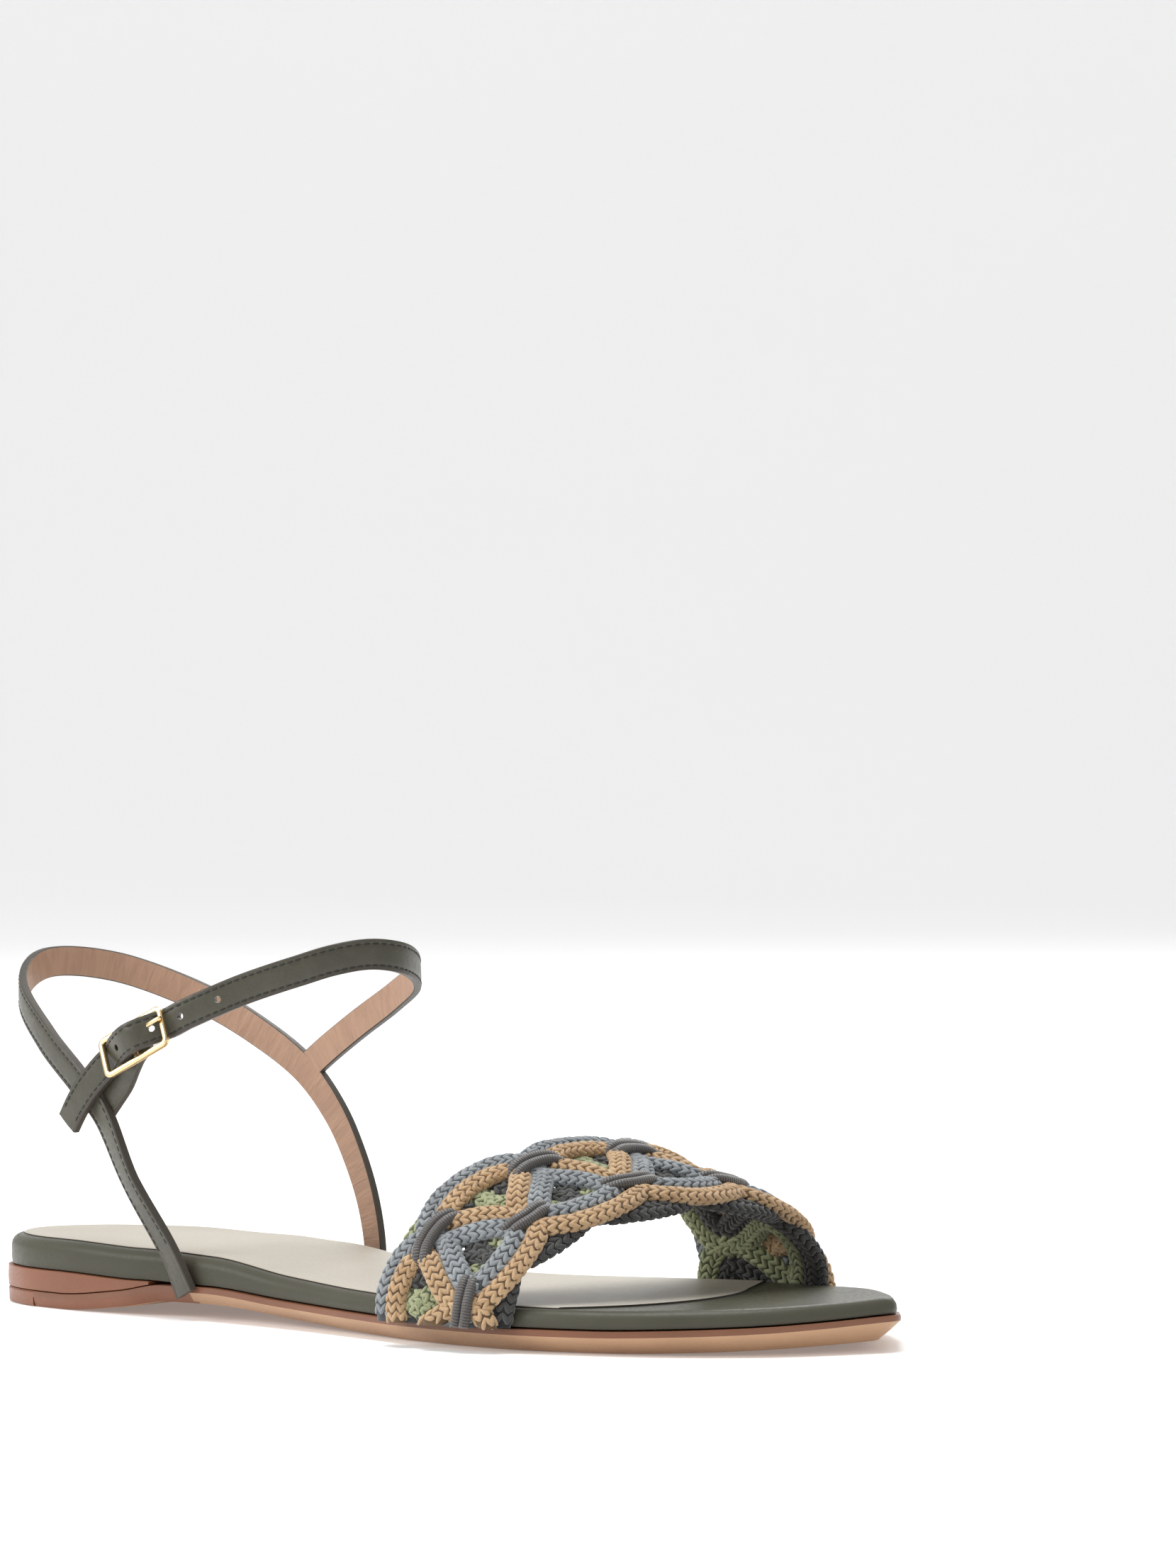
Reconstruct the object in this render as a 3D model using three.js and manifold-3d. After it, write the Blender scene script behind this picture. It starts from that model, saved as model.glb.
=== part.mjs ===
// A flat leather sandal for the right foot, as a group of closed solids.
//
// Millimetres. +X runs from heel to toe, +Y to the big-toe side, +Z up. The origin is the middle of
// the heel, on the floor. The sole is a stack of shaped layers, the front strap is a band of braided
// cord pairs, and the ankle straps are flat leather ribbons that follow an imaginary ankle.

import * as THREE from 'three';
import { mergeVertices } from 'three/addons/utils/BufferGeometryUtils.js';
import Module from 'manifold-3d';

const wasm = await Module();
wasm.setup();

// Sole
const SOLE_LENGTH = 237;        // heel end to toe end, along the outsole
const BALL_WIDTH = 84;          // widest part of the outsole
const HEEL_END = -25;           // x of the heel's rearmost point
const SOLE_BOARD = 5.1;         // outsole thickness under the ball
const ARCH_LIFT = 3.6;          // how far the waist stands off the floor
const TOE_SPRING = 2.9;         // how far the toe end stands off the floor
const WEDGE_HEIGHT = 4.7;       // heel lift between outsole and footbed
const WEDGE_END = 34;           // x where the heel lift runs out
const TOP_PIECE_END = -4;       // x of the front end of the heel's top piece
const FOOTBED = 6.8;            // footbed thickness at the heel
const EDGE_BAND = 1.4;          // upright edge of the outsole above its bevel
const BEVEL_INSET = 6;          // how far the bevel runs in under the forepart
const FOOTBED_INSET = 0.8;      // the outsole stands this far outside the footbed
const SHOULDER = 2.4;           // rounding of the footbed's upper edge
const INSOLE_INSET = 3.6;       // margin of footbed leather round the insole sock
const INSOLE_THICKNESS = 1.1;
const INSOLE_PROUD = 0.15;      // the sock stands this far above the footbed
const SEAM_GAP = 0.3;           // clearance between neighbouring pieces

// Braided front strap
const CORD_WIDTH = 4.4;         // one flattened knitted cord
const BRAID_HALF = 14.6;        // from the strap's middle to the middle of a cord pair's bight
const EDGE_BOW = 1.6;           // how far the strap's edges bend in towards the foot, at most
const BIGHT_CURL = 0.29;        // how far a bight curls back, as a share of one repeat
const BRAID_REPEATS = 4.47;     // repeats from the outer foot of the strap to the inner one
const FIRST_NODE = 3.45;         // height of the first satin crossing above the strap's end
const WALL = 1.4;               // thickness of the strap between its raised cords
const WALL_HALF = 12.5;         // half the width of that wall; the bights stand outside it
const CORD_FOOT = 0.5;          // undersides of the cords above the wall's inner face
const LOWER_TOP = 3.3;          // tops of the lower cord pair, the upper pair and the satin pair
const UPPER_TOP = 5.0;
const SATIN_TOP = 5.9;
const SATIN_CORD = 2.5;         // width of one satin cord
const SATIN_SWING = 8;          // how far the satin pair swings to either side of the middle
const BIGHT_STEPS = 8;          // straight pieces in one bight
const SATIN_STEPS = 40;         // and in the whole satin pair
const WALL_STEPS = 36;
const SLOT_LENGTH = 3.4;        // see-through slots between neighbouring bights
const SLOT_WIDTH = 1.6;
const SLOT_SIDES = 6;
const CORD_SHOULDER = 0.72;     // height of a cord's sides as a share of its top
const CORD_CREST = 0.55;        // place of a cord's highest line as a share of its width
const FURROW = 0.2;             // depth of the furrow between two cords as a share of their width
const BIGHT_REACH = 0.55;       // bights this share of a repeat beyond the strap still reach into it
const BIGHT_OVERLAP = 0.02;     // neighbouring bights run into each other by this share of a turn
const SATIN_OVERRUN = 0.2;      // the satin pair runs past both feet by this share of a repeat

// Ankle straps
const STRAP_WIDTH = 6.7;
const STRAP_THICKNESS = 1.8;
const STRAP_CORNER = 0.5;       // softened outer corners of the straps
const ANKLE_X = 27.5;           // x of the ankle's middle
const ANKLE_BACK = 45.8;        // from there to the heel strap
const ANKLE_FRONT = 56;         // from there to the instep
const ANKLE_HALF = 28.6;        // half the ankle's width at the straps
const STRAP_RISE = 83;          // height of the ankle strap's upper edge over the instep
const SWELL = 2;                // how far the ankle stands out or in at the outer stalk

// Buckle
const BUCKLE_LENGTH = 19;
const BUCKLE_HEIGHT = 9.5;
const BUCKLE_BAR = 1.05;
const BUCKLE_DEPTH = 1.3;
const BUCKLE_CORNER = 0.8;
const BUCKLE_TURN = 99.6;       // place of the buckle round the ankle, in degrees from the heel
const BUCKLE_Z = 60;
const BUCKLE_PITCH = 26.5;      // slope of the strap at the buckle, in degrees
const BUCKLE_ROLL = 14;         // its lower edge stands out from the ankle by this angle
const BUCKLE_LIFT = 4.2;        // height of the frame's underside above the ankle
const PRONG_RADIUS = 0.55;
const PRONG_HOLE = 4.4;         // from the frame's middle bar to the hole that the prong is in
const PRONG_SIDE = 1.2;         // the strap and its prong lie this far above the frame's middle
const HOLE_RADIUS = 1.15;
const HOLE_TURNS = [96.3, 103.9, 111, 119.5];

const SOLE_STATIONS = 30;       // samples along each side of the sole
const STRAP_STEP = 4.2;         // length of one straight piece of the sling
const FINE_STEP = 2.4;          // and of the straps near the buckle
const HOLE_SIDES = 12;
const PRONG_STEPS = 10;
const CURVE_DIVISIONS = 1000;   // samples by which a curve's length is measured
const NUDGE = 0.05;             // step that gives a cord's direction, as a share of one piece
const WELD = 1e-4;              // points closer than this are one

// The footbed's rounded edge, inwards and down, as shares of SHOULDER.
const SHOULDER_ARC = [[0, 1], [0.17, 0.42], [0.5, 0.12], [1, 0]];

// The sock's tongue from the outer side to the inner one: x as a share of SOLE_LENGTH from the heel
// end, y of BALL_WIDTH. The first and last points lie outside the sole, the rest steer its curve.
const TONGUE = {
  outer: [0.692, -0.56],
  steerFront: [[0.821, -0.42], [0.854, -0.02]],
  inner: [0.789, 0.262],
  steerBack: [0.762, 0.423],
  end: [0.722, 0.6],
};

// The prong's line from the middle bar to the frame: s from the bar and n outwards.
const PRONG_DIP = 0.6;          // place of its lowest bend, as a share of PRONG_HOLE
const PRONG_DIP_LIFT = 1.6;     // height of that bend above the frame's underside, in prong radii
const PRONG_LAND = 1.4;         // from the hole to where it comes level, in hole radii

// Half widths are shares of BALL_WIDTH; arch, spring, board, wedge, footbed and bevel are shares of
// ARCH_LIFT, TOE_SPRING, SOLE_BOARD, WEDGE_HEIGHT, FOOTBED and BEVEL_INSET.
const SOLE_TABLE = [
  // along, outer, inner, arch, spring, board, wedge, footbed, bevel
  [0, 0, 0, 0, 0, 0.69, 1, 0.97, 0.1],
  [0.021, 0.15, 0.14, 0, 0, 0.69, 1, 1, 0.1],
  [0.063, 0.235, 0.23, 0, 0, 0.69, 1, 1, 0.1],
  [0.127, 0.281, 0.286, 0, 0, 0.69, 1, 1, 0.12],
  [0.211, 0.301, 0.308, 0.45, 0, 0.72, 0.5, 0.99, 0.2],
  [0.264, 0.306, 0.304, 0.93, 0, 0.76, 0.08, 0.97, 0.4],
  [0.316, 0.313, 0.291, 0.92, 0, 0.8, 0, 0.92, 0.6],
  [0.422, 0.349, 0.278, 0.42, 0, 0.89, 0, 0.7, 0.9],
  [0.527, 0.412, 0.312, 0.08, 0, 0.98, 0, 0.61, 1],
  [0.591, 0.455, 0.36, 0, 0, 1, 0, 0.6, 1],
  [0.654, 0.483, 0.418, 0, 0, 1, 0, 0.6, 1],
  [0.728, 0.485, 0.481, 0, 0, 1, 0, 0.6, 1],
  [0.802, 0.434, 0.508, 0, 0, 1, 0, 0.6, 1],
  [0.873, 0.345, 0.474, 0, 0.15, 1, 0, 0.59, 1],
  [0.932, 0.214, 0.338, 0, 0.4, 0.98, 0, 0.57, 0.95],
  [0.97, 0.06, 0.2, 0, 0.68, 0.97, 0, 0.56, 0.85],
  [0.992, -0.06, 0.125, 0, 0.93, 0.96, 0, 0.57, 0.75],
  [1, -0.088, 0.088, 0, 1, 0.96, 0, 0.58, 0.7],
].map(([along, outer, inner, arch, spring, board, wedge, footbed, bevel]) => (
  { along, outer, inner, arch, spring, board, wedge, footbed, bevel }));

// The strap's middle line on its inner face: x and z as shares of SOLE_LENGTH, y of BALL_WIDTH.
// lean and dip, in degrees, turn the strap's front edge outwards and down. bow is a share of EDGE_BOW,
// and width a share of the strap's full width.
const VAMP_TABLE = [
  { x: 0.6635, y: -0.498, z: 0.0228, lean: 0, dip: 0, bow: 1, width: 0.88 },
  { x: 0.6635, y: -0.488, z: 0.0443, lean: 0, dip: 3, bow: 0.94, width: 0.89 },
  { x: 0.6688, y: -0.41, z: 0.0823, lean: 4, dip: 11, bow: 0.62, width: 0.91 },
  { x: 0.6814, y: -0.3, z: 0.1108, lean: 10, dip: 17, bow: 0.37, width: 0.94 },
  { x: 0.6994, y: -0.183, z: 0.1266, lean: 15, dip: 18, bow: 0.31, width: 0.98 },
  { x: 0.7162, y: -0.06, z: 0.134, lean: 17, dip: 17, bow: 0.31, width: 1 },
  { x: 0.7278, y: 0.072, z: 0.135, lean: 15, dip: 16, bow: 0.31, width: 1 },
  { x: 0.7373, y: 0.205, z: 0.1287, lean: 10, dip: 15, bow: 0.31, width: 0.98 },
  { x: 0.7437, y: 0.325, z: 0.1118, lean: 4, dip: 12, bow: 0.5, width: 0.94 },
  { x: 0.7458, y: 0.424, z: 0.0802, lean: -2, dip: 7, bow: 0.75, width: 0.9 },
  { x: 0.7468, y: 0.472, z: 0.0464, lean: -5, dip: 2, bow: 0.87, width: 0.86 },
  { x: 0.7468, y: 0.486, z: 0.0228, lean: -5, dip: 0, bow: 0.94, width: 0.85 },
];

// Straps round the ankle. turn is the place round it in degrees from the heel, positive on the outer
// side. height is a share of STRAP_RISE, swell of SWELL and lift of one strap layer. twist, in
// degrees, turns the strap's front edge outwards.
const SLING_TABLE = [
  { turn: 109.4, height: 0.072, swell: -0.8, twist: 26 },
  { turn: 105, height: 0.181, swell: -0.6, twist: 30 },
  { turn: 95.5, height: 0.361, swell: 0.1, twist: 30 },
  { turn: 87, height: 0.536, swell: 0.3, twist: 16 },
  { turn: 76.5, height: 0.62, swell: 0.2, twist: 5 },
  { turn: 60, height: 0.718, swell: 0, twist: 0 },
  { turn: 30, height: 0.838, swell: 0, twist: 0 },
  { turn: 0, height: 0.9, swell: 0, twist: 0 },
  { turn: -30, height: 0.884, swell: 0, twist: 0 },
  { turn: -60, height: 0.797, swell: 0, twist: 0 },
  { turn: -78, height: 0.713, swell: 0, twist: 0 },
  { turn: -94, height: 0.614, swell: 0, twist: 0 },
  { turn: -104, height: 0.5, swell: 0, twist: 0 },
  { turn: -110.5, height: 0.392, swell: 0, twist: 0 },
  { turn: -115.5, height: 0.283, swell: 0, twist: 0 },
  { turn: -118.5, height: 0.169, swell: 0, twist: 0 },
  { turn: -118.8, height: 0.072, swell: 0, twist: 0 },
];

const ANKLE_STRAP_TABLE = [
  { turn: -95, height: 0.62, lift: 0 },
  { turn: -101, height: 0.669, lift: 0 },
  { turn: -112, height: 0.741, lift: 0 },
  { turn: -130, height: 0.827, lift: 0 },
  { turn: -150, height: 0.892, lift: 0 },
  { turn: 180, height: 0.945, lift: 0 },
  { turn: 165, height: 0.955, lift: 0 },
  { turn: 152, height: 0.941, lift: 0 },
  { turn: 142, height: 0.916, lift: 0 },
  { turn: 134.5, height: 0.894, lift: 0 },
  { turn: 126, height: 0.865, lift: 0.1 },
  { turn: 117.3, height: 0.827, lift: 0.6 },
  { turn: 111, height: 0.795, lift: 0.95 },
  { turn: 107.8, height: 0.777, lift: 1 },
  { turn: 104, height: 0.759, lift: 2.1 },
  { turn: 100, height: 0.737, lift: 2.9 },
  { turn: 96, height: 0.711, lift: 2.1 },
  { turn: 92.2, height: 0.68, lift: 1 },
  { turn: 88.5, height: 0.646, lift: 1 },
  { turn: 84.1, height: 0.601, lift: 1.2 },
  { turn: 79.9, height: 0.554, lift: 1.2 },
  { turn: 76, height: 0.505, lift: 1.1 },
];

const BUCKLE_STRAP_TABLE = [
  { turn: 86.4, height: 0.542, lift: 0 },
  { turn: 90, height: 0.582, lift: 0 },
  { turn: 93, height: 0.622, lift: 0.1 },
  { turn: 96, height: 0.67, lift: 0.6 },
  { turn: 98.6, height: 0.707, lift: 1 },
  { turn: 101.5, height: 0.735, lift: 1 },
];

const COLOURS = {
  outsole: '#c99f7c',
  heel_lift: '#a9714f',
  heel_top_piece: '#a8795a',
  midsole: '#5f6359',
  insole: '#d0c6b6',
  braided_vamp: '#b29a76',
  ankle_straps: '#4f5045',
  buckle: '#d8c08f',
};

// Monotone cubic through a table's column, so that no value overshoots its rows.
function column(table, at, key) {
  const n = table.length;
  const xs = table.map((row) => row[at]);
  const ys = table.map((row) => row[key]);
  const slope = [];
  for (let i = 0; i < n - 1; i += 1) slope.push((ys[i + 1] - ys[i]) / (xs[i + 1] - xs[i]));
  const tangent = [slope[0]];
  for (let i = 1; i < n - 1; i += 1) {
    const same = slope[i - 1] * slope[i] > 0;
    tangent.push(same ? (2 * slope[i - 1] * slope[i]) / (slope[i - 1] + slope[i]) : 0);
  }
  tangent.push(slope[n - 2]);
  return (x) => {
    let i = 0;
    while (i < n - 2 && x > xs[i + 1]) i += 1;
    const h = xs[i + 1] - xs[i];
    const t = (x - xs[i]) / h;
    const a = ys[i] * (1 + 2 * t) * (1 - t) ** 2 + ys[i + 1] * t * t * (3 - 2 * t);
    const b = tangent[i] * h * t * (1 - t) ** 2 + tangent[i + 1] * h * t * t * (t - 1);
    return a + b;
  };
}

const share = (x) => Math.min(1, Math.max(0, (x - HEEL_END) / SOLE_LENGTH));
const soleColumn = (key) => column(SOLE_TABLE, 'along', key);
const archShare = soleColumn('arch');
const springShare = soleColumn('spring');
const boardShare = soleColumn('board');
const wedgeShare = soleColumn('wedge');
const footbedShare = soleColumn('footbed');
const bevelShare = soleColumn('bevel');

// Heights of the sole's layers at a place along it.
const underside = (x) => ARCH_LIFT * archShare(share(x)) + TOE_SPRING * springShare(share(x));
const boardTop = (x) => underside(x) + SOLE_BOARD * boardShare(share(x));
const seat = (x) => boardTop(x) + WEDGE_HEIGHT * wedgeShare(share(x));
const footbedTop = (x) => seat(x) + FOOTBED * footbedShare(share(x));

// The outsole's outline, a closed loop of points from the heel end round by the inner side.
function soleOutline() {
  const inner = SOLE_TABLE.map((row) => [row.along, row.inner]);
  const outer = SOLE_TABLE.map((row) => [row.along, -row.outer]).reverse();
  const loop = inner.concat(outer.slice(0, -1));
  const points = loop.map(([along, across]) => new THREE.Vector3(
    HEEL_END + SOLE_LENGTH * along, BALL_WIDTH * across, 0));
  const curve = new THREE.CatmullRomCurve3(points, true, 'centripetal');
  curve.arcLengthDivisions = CURVE_DIVISIONS;
  return curve.getSpacedPoints(2 * SOLE_STATIONS).slice(0, -1);
}

const OUTLINE = soleOutline();

// The outline moved inwards by a distance that may depend on the place, at a given height.
function ring(insetAt, heightAt) {
  const n = OUTLINE.length;
  return OUTLINE.map((p, i) => {
    const along = OUTLINE[(i + 1) % n].clone().sub(OUTLINE[(i + n - 1) % n]).normalize();
    const inset = insetAt(p.x);
    const x = p.x + along.y * inset;
    const y = p.y - along.x * inset;
    return new THREE.Vector3(x, y, heightAt(x));
  });
}

function geometryOf(positions, faces) {
  const geometry = new THREE.BufferGeometry();
  const flat = positions.flatMap((p) => [p.x, p.y, p.z]);
  geometry.setAttribute('position', new THREE.Float32BufferAttribute(flat, 3));
  geometry.setIndex(faces.flat());
  return geometry;
}

// Loops of points stacked from the lowest to the highest, closed by ruled caps.
function stack(rings) {
  const n = rings[0].length;
  const positions = rings.flat();
  const faces = [];
  for (let r = 0; r < rings.length - 1; r += 1) {
    for (let i = 0; i < n; i += 1) {
      const a = r * n + i;
      const b = r * n + ((i + 1) % n);
      faces.push([a, a + n, b], [b, a + n, b + n]);
    }
  }
  const top = (rings.length - 1) * n;
  for (let i = 0; i < n / 2; i += 1) {
    const j = (n - i) % n;
    const k = n - i - 1;
    if (i > 0) faces.push([i, i + 1, j], [top + i, top + j, top + i + 1]);
    if (k !== i + 1) faces.push([i + 1, k, j], [top + i + 1, top + j, top + k]);
  }
  return solid(geometryOf(positions, faces));
}

// A three.js geometry as a solid for cutting and joining.
function solid(geometry) {
  const bare = geometry.clone();
  bare.deleteAttribute('normal');
  bare.deleteAttribute('uv');
  const merged = mergeVertices(bare, WELD);
  const index = merged.getIndex().array;
  const triangles = [];
  for (let i = 0; i < index.length; i += 3) {
    const [a, b, c] = [index[i], index[i + 1], index[i + 2]];
    if (a !== b && b !== c && c !== a) triangles.push(a, b, c);
  }
  const mesh = new wasm.Mesh({
    numProp: 3,
    vertProperties: new Float32Array(merged.getAttribute('position').array),
    triVerts: new Uint32Array(triangles),
  });
  const made = new wasm.Manifold(mesh);
  return made.volume() < 0 ? new wasm.Manifold(new wasm.Mesh({
    numProp: 3,
    vertProperties: mesh.vertProperties,
    triVerts: new Uint32Array(triangles).reverse(),
  })) : made;
}

// The outermost skin of a joined solid, with the small pockets shut inside it filled.
function filled(joined) {
  const skins = joined.decompose();
  return skins.reduce((best, skin) => (skin.volume() > best.volume() ? skin : best));
}

function box(low, high) {
  const size = new THREE.Vector3().subVectors(high, low);
  const geometry = new THREE.BoxGeometry(size.x, size.y, size.z);
  geometry.translate((low.x + high.x) / 2, (low.y + high.y) / 2, (low.z + high.z) / 2);
  return solid(geometry);
}

const REACH = SOLE_LENGTH;      // half the size of the blocks that cut
const behind = (x) => box(new THREE.Vector3(-REACH, -REACH, -REACH), new THREE.Vector3(x, REACH, REACH));
const below = (z) => box(new THREE.Vector3(-REACH, -REACH, -REACH), new THREE.Vector3(2 * REACH, REACH, z));

function outsoleAndTopPiece() {
  const bevel = (x) => BEVEL_INSET * bevelShare(share(x));
  const whole = stack([
    ring(bevel, underside),
    ring(() => 0, (x) => boardTop(x) - EDGE_BAND),
    ring(() => 0, boardTop),
  ]);
  return {
    outsole: whole.subtract(behind(TOP_PIECE_END + SEAM_GAP)),
    topPiece: whole.intersect(behind(TOP_PIECE_END)),
  };
}

function heelLift() {
  const above = stack([
    ring(() => 0, (x) => boardTop(x) + SEAM_GAP),
    ring(() => 0, () => REACH / 4),
  ]);
  const lid = stack([
    ring(() => 0, () => -REACH / 4),
    ring(() => 0, seat),
  ]);
  return above.intersect(lid).intersect(behind(WEDGE_END));
}

// The footbed grown by a margin on every side, or at its own size for a margin of 0.
function footbed(margin) {
  const inset = (more) => () => FOOTBED_INSET + more - margin;
  return stack([
    ring(inset(0), (x) => seat(x) + SEAM_GAP - margin),
    ...SHOULDER_ARC.map(([inwards, down]) => (
      ring(inset(SHOULDER * inwards), (x) => footbedTop(x) - SHOULDER * down + margin))),
  ]);
}

// The insole sock's outline: the sole's with a margin, up to a rounded tongue across the forepart.
function sockBlock(margin, low, high) {
  const inset = () => INSOLE_INSET - margin;
  const block = stack([ring(inset, low), ring(inset, high)]);
  const shape = new THREE.Shape();
  const at = ([along, across]) => [HEEL_END + SOLE_LENGTH * along + margin, BALL_WIDTH * across];
  const { outer, steerFront, inner, steerBack, end } = TONGUE;
  shape.moveTo(-REACH, -REACH);
  shape.lineTo(at(outer)[0], -REACH);
  shape.lineTo(...at(outer));
  shape.bezierCurveTo(...at(steerFront[0]), ...at(steerFront[1]), ...at(inner));
  shape.quadraticCurveTo(...at(steerBack), ...at(end));
  shape.lineTo(at(end)[0], REACH);
  shape.lineTo(-REACH, REACH);
  shape.closePath();
  const geometry = new THREE.ExtrudeGeometry(shape, { depth: REACH, bevelEnabled: false, curveSegments: 12 });
  geometry.translate(0, 0, -REACH / 2);
  return block.intersect(solid(geometry));
}

function insole() {
  return sockBlock(0,
    (x) => footbedTop(x) + INSOLE_PROUD - INSOLE_THICKNESS,
    (x) => footbedTop(x) + INSOLE_PROUD);
}

function insoleRecess() {
  return sockBlock(SEAM_GAP,
    (x) => footbedTop(x) + INSOLE_PROUD - INSOLE_THICKNESS - SEAM_GAP,
    (x) => footbedTop(x) + FOOTBED);
}

// A closed bar of constant section along frames. A frame holds a point and two directions, and the
// section's points are [sideways, outwards] pairs.
function bar(frames, section) {
  const n = section.length;
  const positions = frames.flatMap(({ point, side, out }) => section.map(([s, o]) => (
    point.clone().addScaledVector(side, s).addScaledVector(out, o))));
  const faces = [];
  for (let f = 0; f < frames.length - 1; f += 1) {
    for (let i = 0; i < n; i += 1) {
      const a = f * n + i;
      const b = f * n + ((i + 1) % n);
      faces.push([a, b, a + n], [b, b + n, a + n]);
    }
  }
  const flat = section.map(([s, o]) => new THREE.Vector2(s, o));
  const last = (frames.length - 1) * n;
  for (const [a, b, c] of THREE.ShapeUtils.triangulateShape(flat, [])) {
    faces.push([a, c, b], [last + a, last + b, last + c]);
  }
  return solid(geometryOf(positions, faces));
}

// The surface of the front strap's inner face, from its outer foot to its inner one.
const VAMP_CURVE = new THREE.CatmullRomCurve3(VAMP_TABLE.map((row) => new THREE.Vector3(
  HEEL_END + SOLE_LENGTH * row.x, BALL_WIDTH * row.y, SOLE_LENGTH * row.z)), false, 'centripetal');
VAMP_CURVE.arcLengthDivisions = CURVE_DIVISIONS;
const VAMP_LENGTH = VAMP_CURVE.getLength();
const REPEAT = (VAMP_LENGTH - FIRST_NODE) / BRAID_REPEATS;
const vampRows = VAMP_TABLE.map((row, i) => ({ ...row, at: i / (VAMP_TABLE.length - 1) }));
const vampLean = column(vampRows, 'at', 'lean');
const vampDip = column(vampRows, 'at', 'dip');
const vampBow = column(vampRows, 'at', 'bow');
const vampWidth = column(vampRows, 'at', 'width');

// A point of the strap: u along it, v across it towards the toe, height above its inner face.
function vampPoint(u, v, height) {
  const inside = Math.min(VAMP_LENGTH, Math.max(0, u));
  const t = VAMP_CURVE.getUtoTmapping(inside / VAMP_LENGTH);
  const along = VAMP_CURVE.getTangent(t).normalize();
  const point = VAMP_CURVE.getPoint(t).addScaledVector(along, u - inside);
  const lean = THREE.MathUtils.degToRad(vampLean(t));
  const dip = THREE.MathUtils.degToRad(vampDip(t));
  const front = new THREE.Vector3(
    Math.cos(lean) * Math.cos(dip), -Math.sin(lean) * Math.cos(dip), -Math.sin(dip));
  front.addScaledVector(along, -front.dot(along)).normalize();
  const out = new THREE.Vector3().crossVectors(front, along).normalize();
  const bend = EDGE_BOW * vampBow(t) * (v / BRAID_HALF) ** 2;
  return point.addScaledVector(front, v * vampWidth(t)).addScaledVector(out, height - bend);
}

// A cord pair on the strap, given its middle line as a function from a turn to { u, v, top }, with a
// furrow between its two flattened cords.
function cordPair(path, from, to, steps, width) {
  const section = (top) => [
    [-width, CORD_FOOT], [width, CORD_FOOT], [width, top * CORD_SHOULDER], [width * CORD_CREST, top],
    [0, top - width * FURROW], [-width * CORD_CREST, top], [-width, top * CORD_SHOULDER],
  ];
  const positions = [];
  const nudge = ((to - from) / steps) * NUDGE;
  const n = section(0).length;
  for (let i = 0; i <= steps; i += 1) {
    const turn = from + ((to - from) * i) / steps;
    const { u, v, top } = path(turn);
    const a = path(turn - nudge);
    const b = path(turn + nudge);
    const length = Math.hypot(b.u - a.u, b.v - a.v);
    const sideU = (b.v - a.v) / length;
    const sideV = -(b.u - a.u) / length;
    positions.push(...section(top).map(([s, height]) => vampPoint(u + sideU * s, v + sideV * s, height)));
  }
  const faces = [];
  for (let i = 0; i < steps; i += 1) {
    for (let j = 0; j < n; j += 1) {
      const a = i * n + j;
      const b = i * n + ((j + 1) % n);
      faces.push([a, b, a + n], [b, b + n, a + n]);
    }
  }
  const last = steps * n;
  for (let j = 2; j < n; j += 1) faces.push([0, j, j - 1], [last, last + j - 1, last + j]);
  return solid(geometryOf(positions, faces));
}

// A pair runs from bight to bight across the strap and curls back on itself between them.
const pairPath = (shift, top) => (turn) => ({
  u: FIRST_NODE + REPEAT * (shift + turn + BIGHT_CURL * Math.sin(4 * Math.PI * turn)),
  v: BRAID_HALF * Math.cos(2 * Math.PI * turn),
  top,
});

const satinPath = (turn) => ({
  u: FIRST_NODE + REPEAT * turn,
  v: SATIN_SWING * Math.cos(2 * Math.PI * turn),
  top: THREE.MathUtils.lerp(WALL, SATIN_TOP, Math.cos(2 * Math.PI * turn) ** 2),
});

// The wall that carries the cords.
function strapWall() {
  const lanes = [-1, -0.5, 0, 0.5, 1].map((lane) => lane * WALL_HALF);
  const n = 2 * lanes.length;
  const positions = [];
  for (let i = 0; i <= WALL_STEPS; i += 1) {
    const u = THREE.MathUtils.lerp(-WALL, VAMP_LENGTH + WALL, i / WALL_STEPS);
    positions.push(...lanes.map((v) => vampPoint(u, v, 0)));
    positions.push(...[...lanes].reverse().map((v) => vampPoint(u, v, WALL)));
  }
  const faces = [];
  for (let i = 0; i < WALL_STEPS; i += 1) {
    for (let j = 0; j < n; j += 1) {
      const a = i * n + j;
      const b = i * n + ((j + 1) % n);
      faces.push([a, b, a + n], [b, b + n, a + n]);
    }
  }
  const last = WALL_STEPS * n;
  for (let j = 0; j < lanes.length - 1; j += 1) {
    const k = n - 1 - j;
    faces.push([j, k, j + 1], [j + 1, k, k - 1]);
    faces.push([last + j, last + j + 1, last + k], [last + j + 1, last + k - 1, last + k]);
  }
  return solid(geometryOf(positions, faces));
}

// Slots through the strap where the curls of two neighbouring bights leave a gap.
function strapSlots() {
  const slots = [];
  for (let k = 1; k < BRAID_REPEATS * 2 - 1; k += 1) {
    const u = FIRST_NODE + REPEAT * (k / 2 + 0.25);
    const outline = Array.from({ length: SLOT_SIDES }, (_, i) => {
      const angle = (2 * Math.PI * i) / SLOT_SIDES;
      return [u + (SLOT_WIDTH / 2) * Math.cos(angle), (SLOT_LENGTH / 2) * Math.sin(angle)];
    });
    const low = outline.map(([a, b]) => vampPoint(a, b, -WALL));
    const high = outline.map(([a, b]) => vampPoint(a, b, 2 * SATIN_TOP));
    const faces = [];
    for (let i = 0; i < SLOT_SIDES; i += 1) {
      const j = (i + 1) % SLOT_SIDES;
      faces.push([i, j, i + SLOT_SIDES], [j, j + SLOT_SIDES, i + SLOT_SIDES]);
      if (i > 1) faces.push([0, i, i - 1], [SLOT_SIDES, SLOT_SIDES + i - 1, SLOT_SIDES + i]);
    }
    slots.push(solid(geometryOf(low.concat(high), faces)));
  }
  return slots;
}

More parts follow.
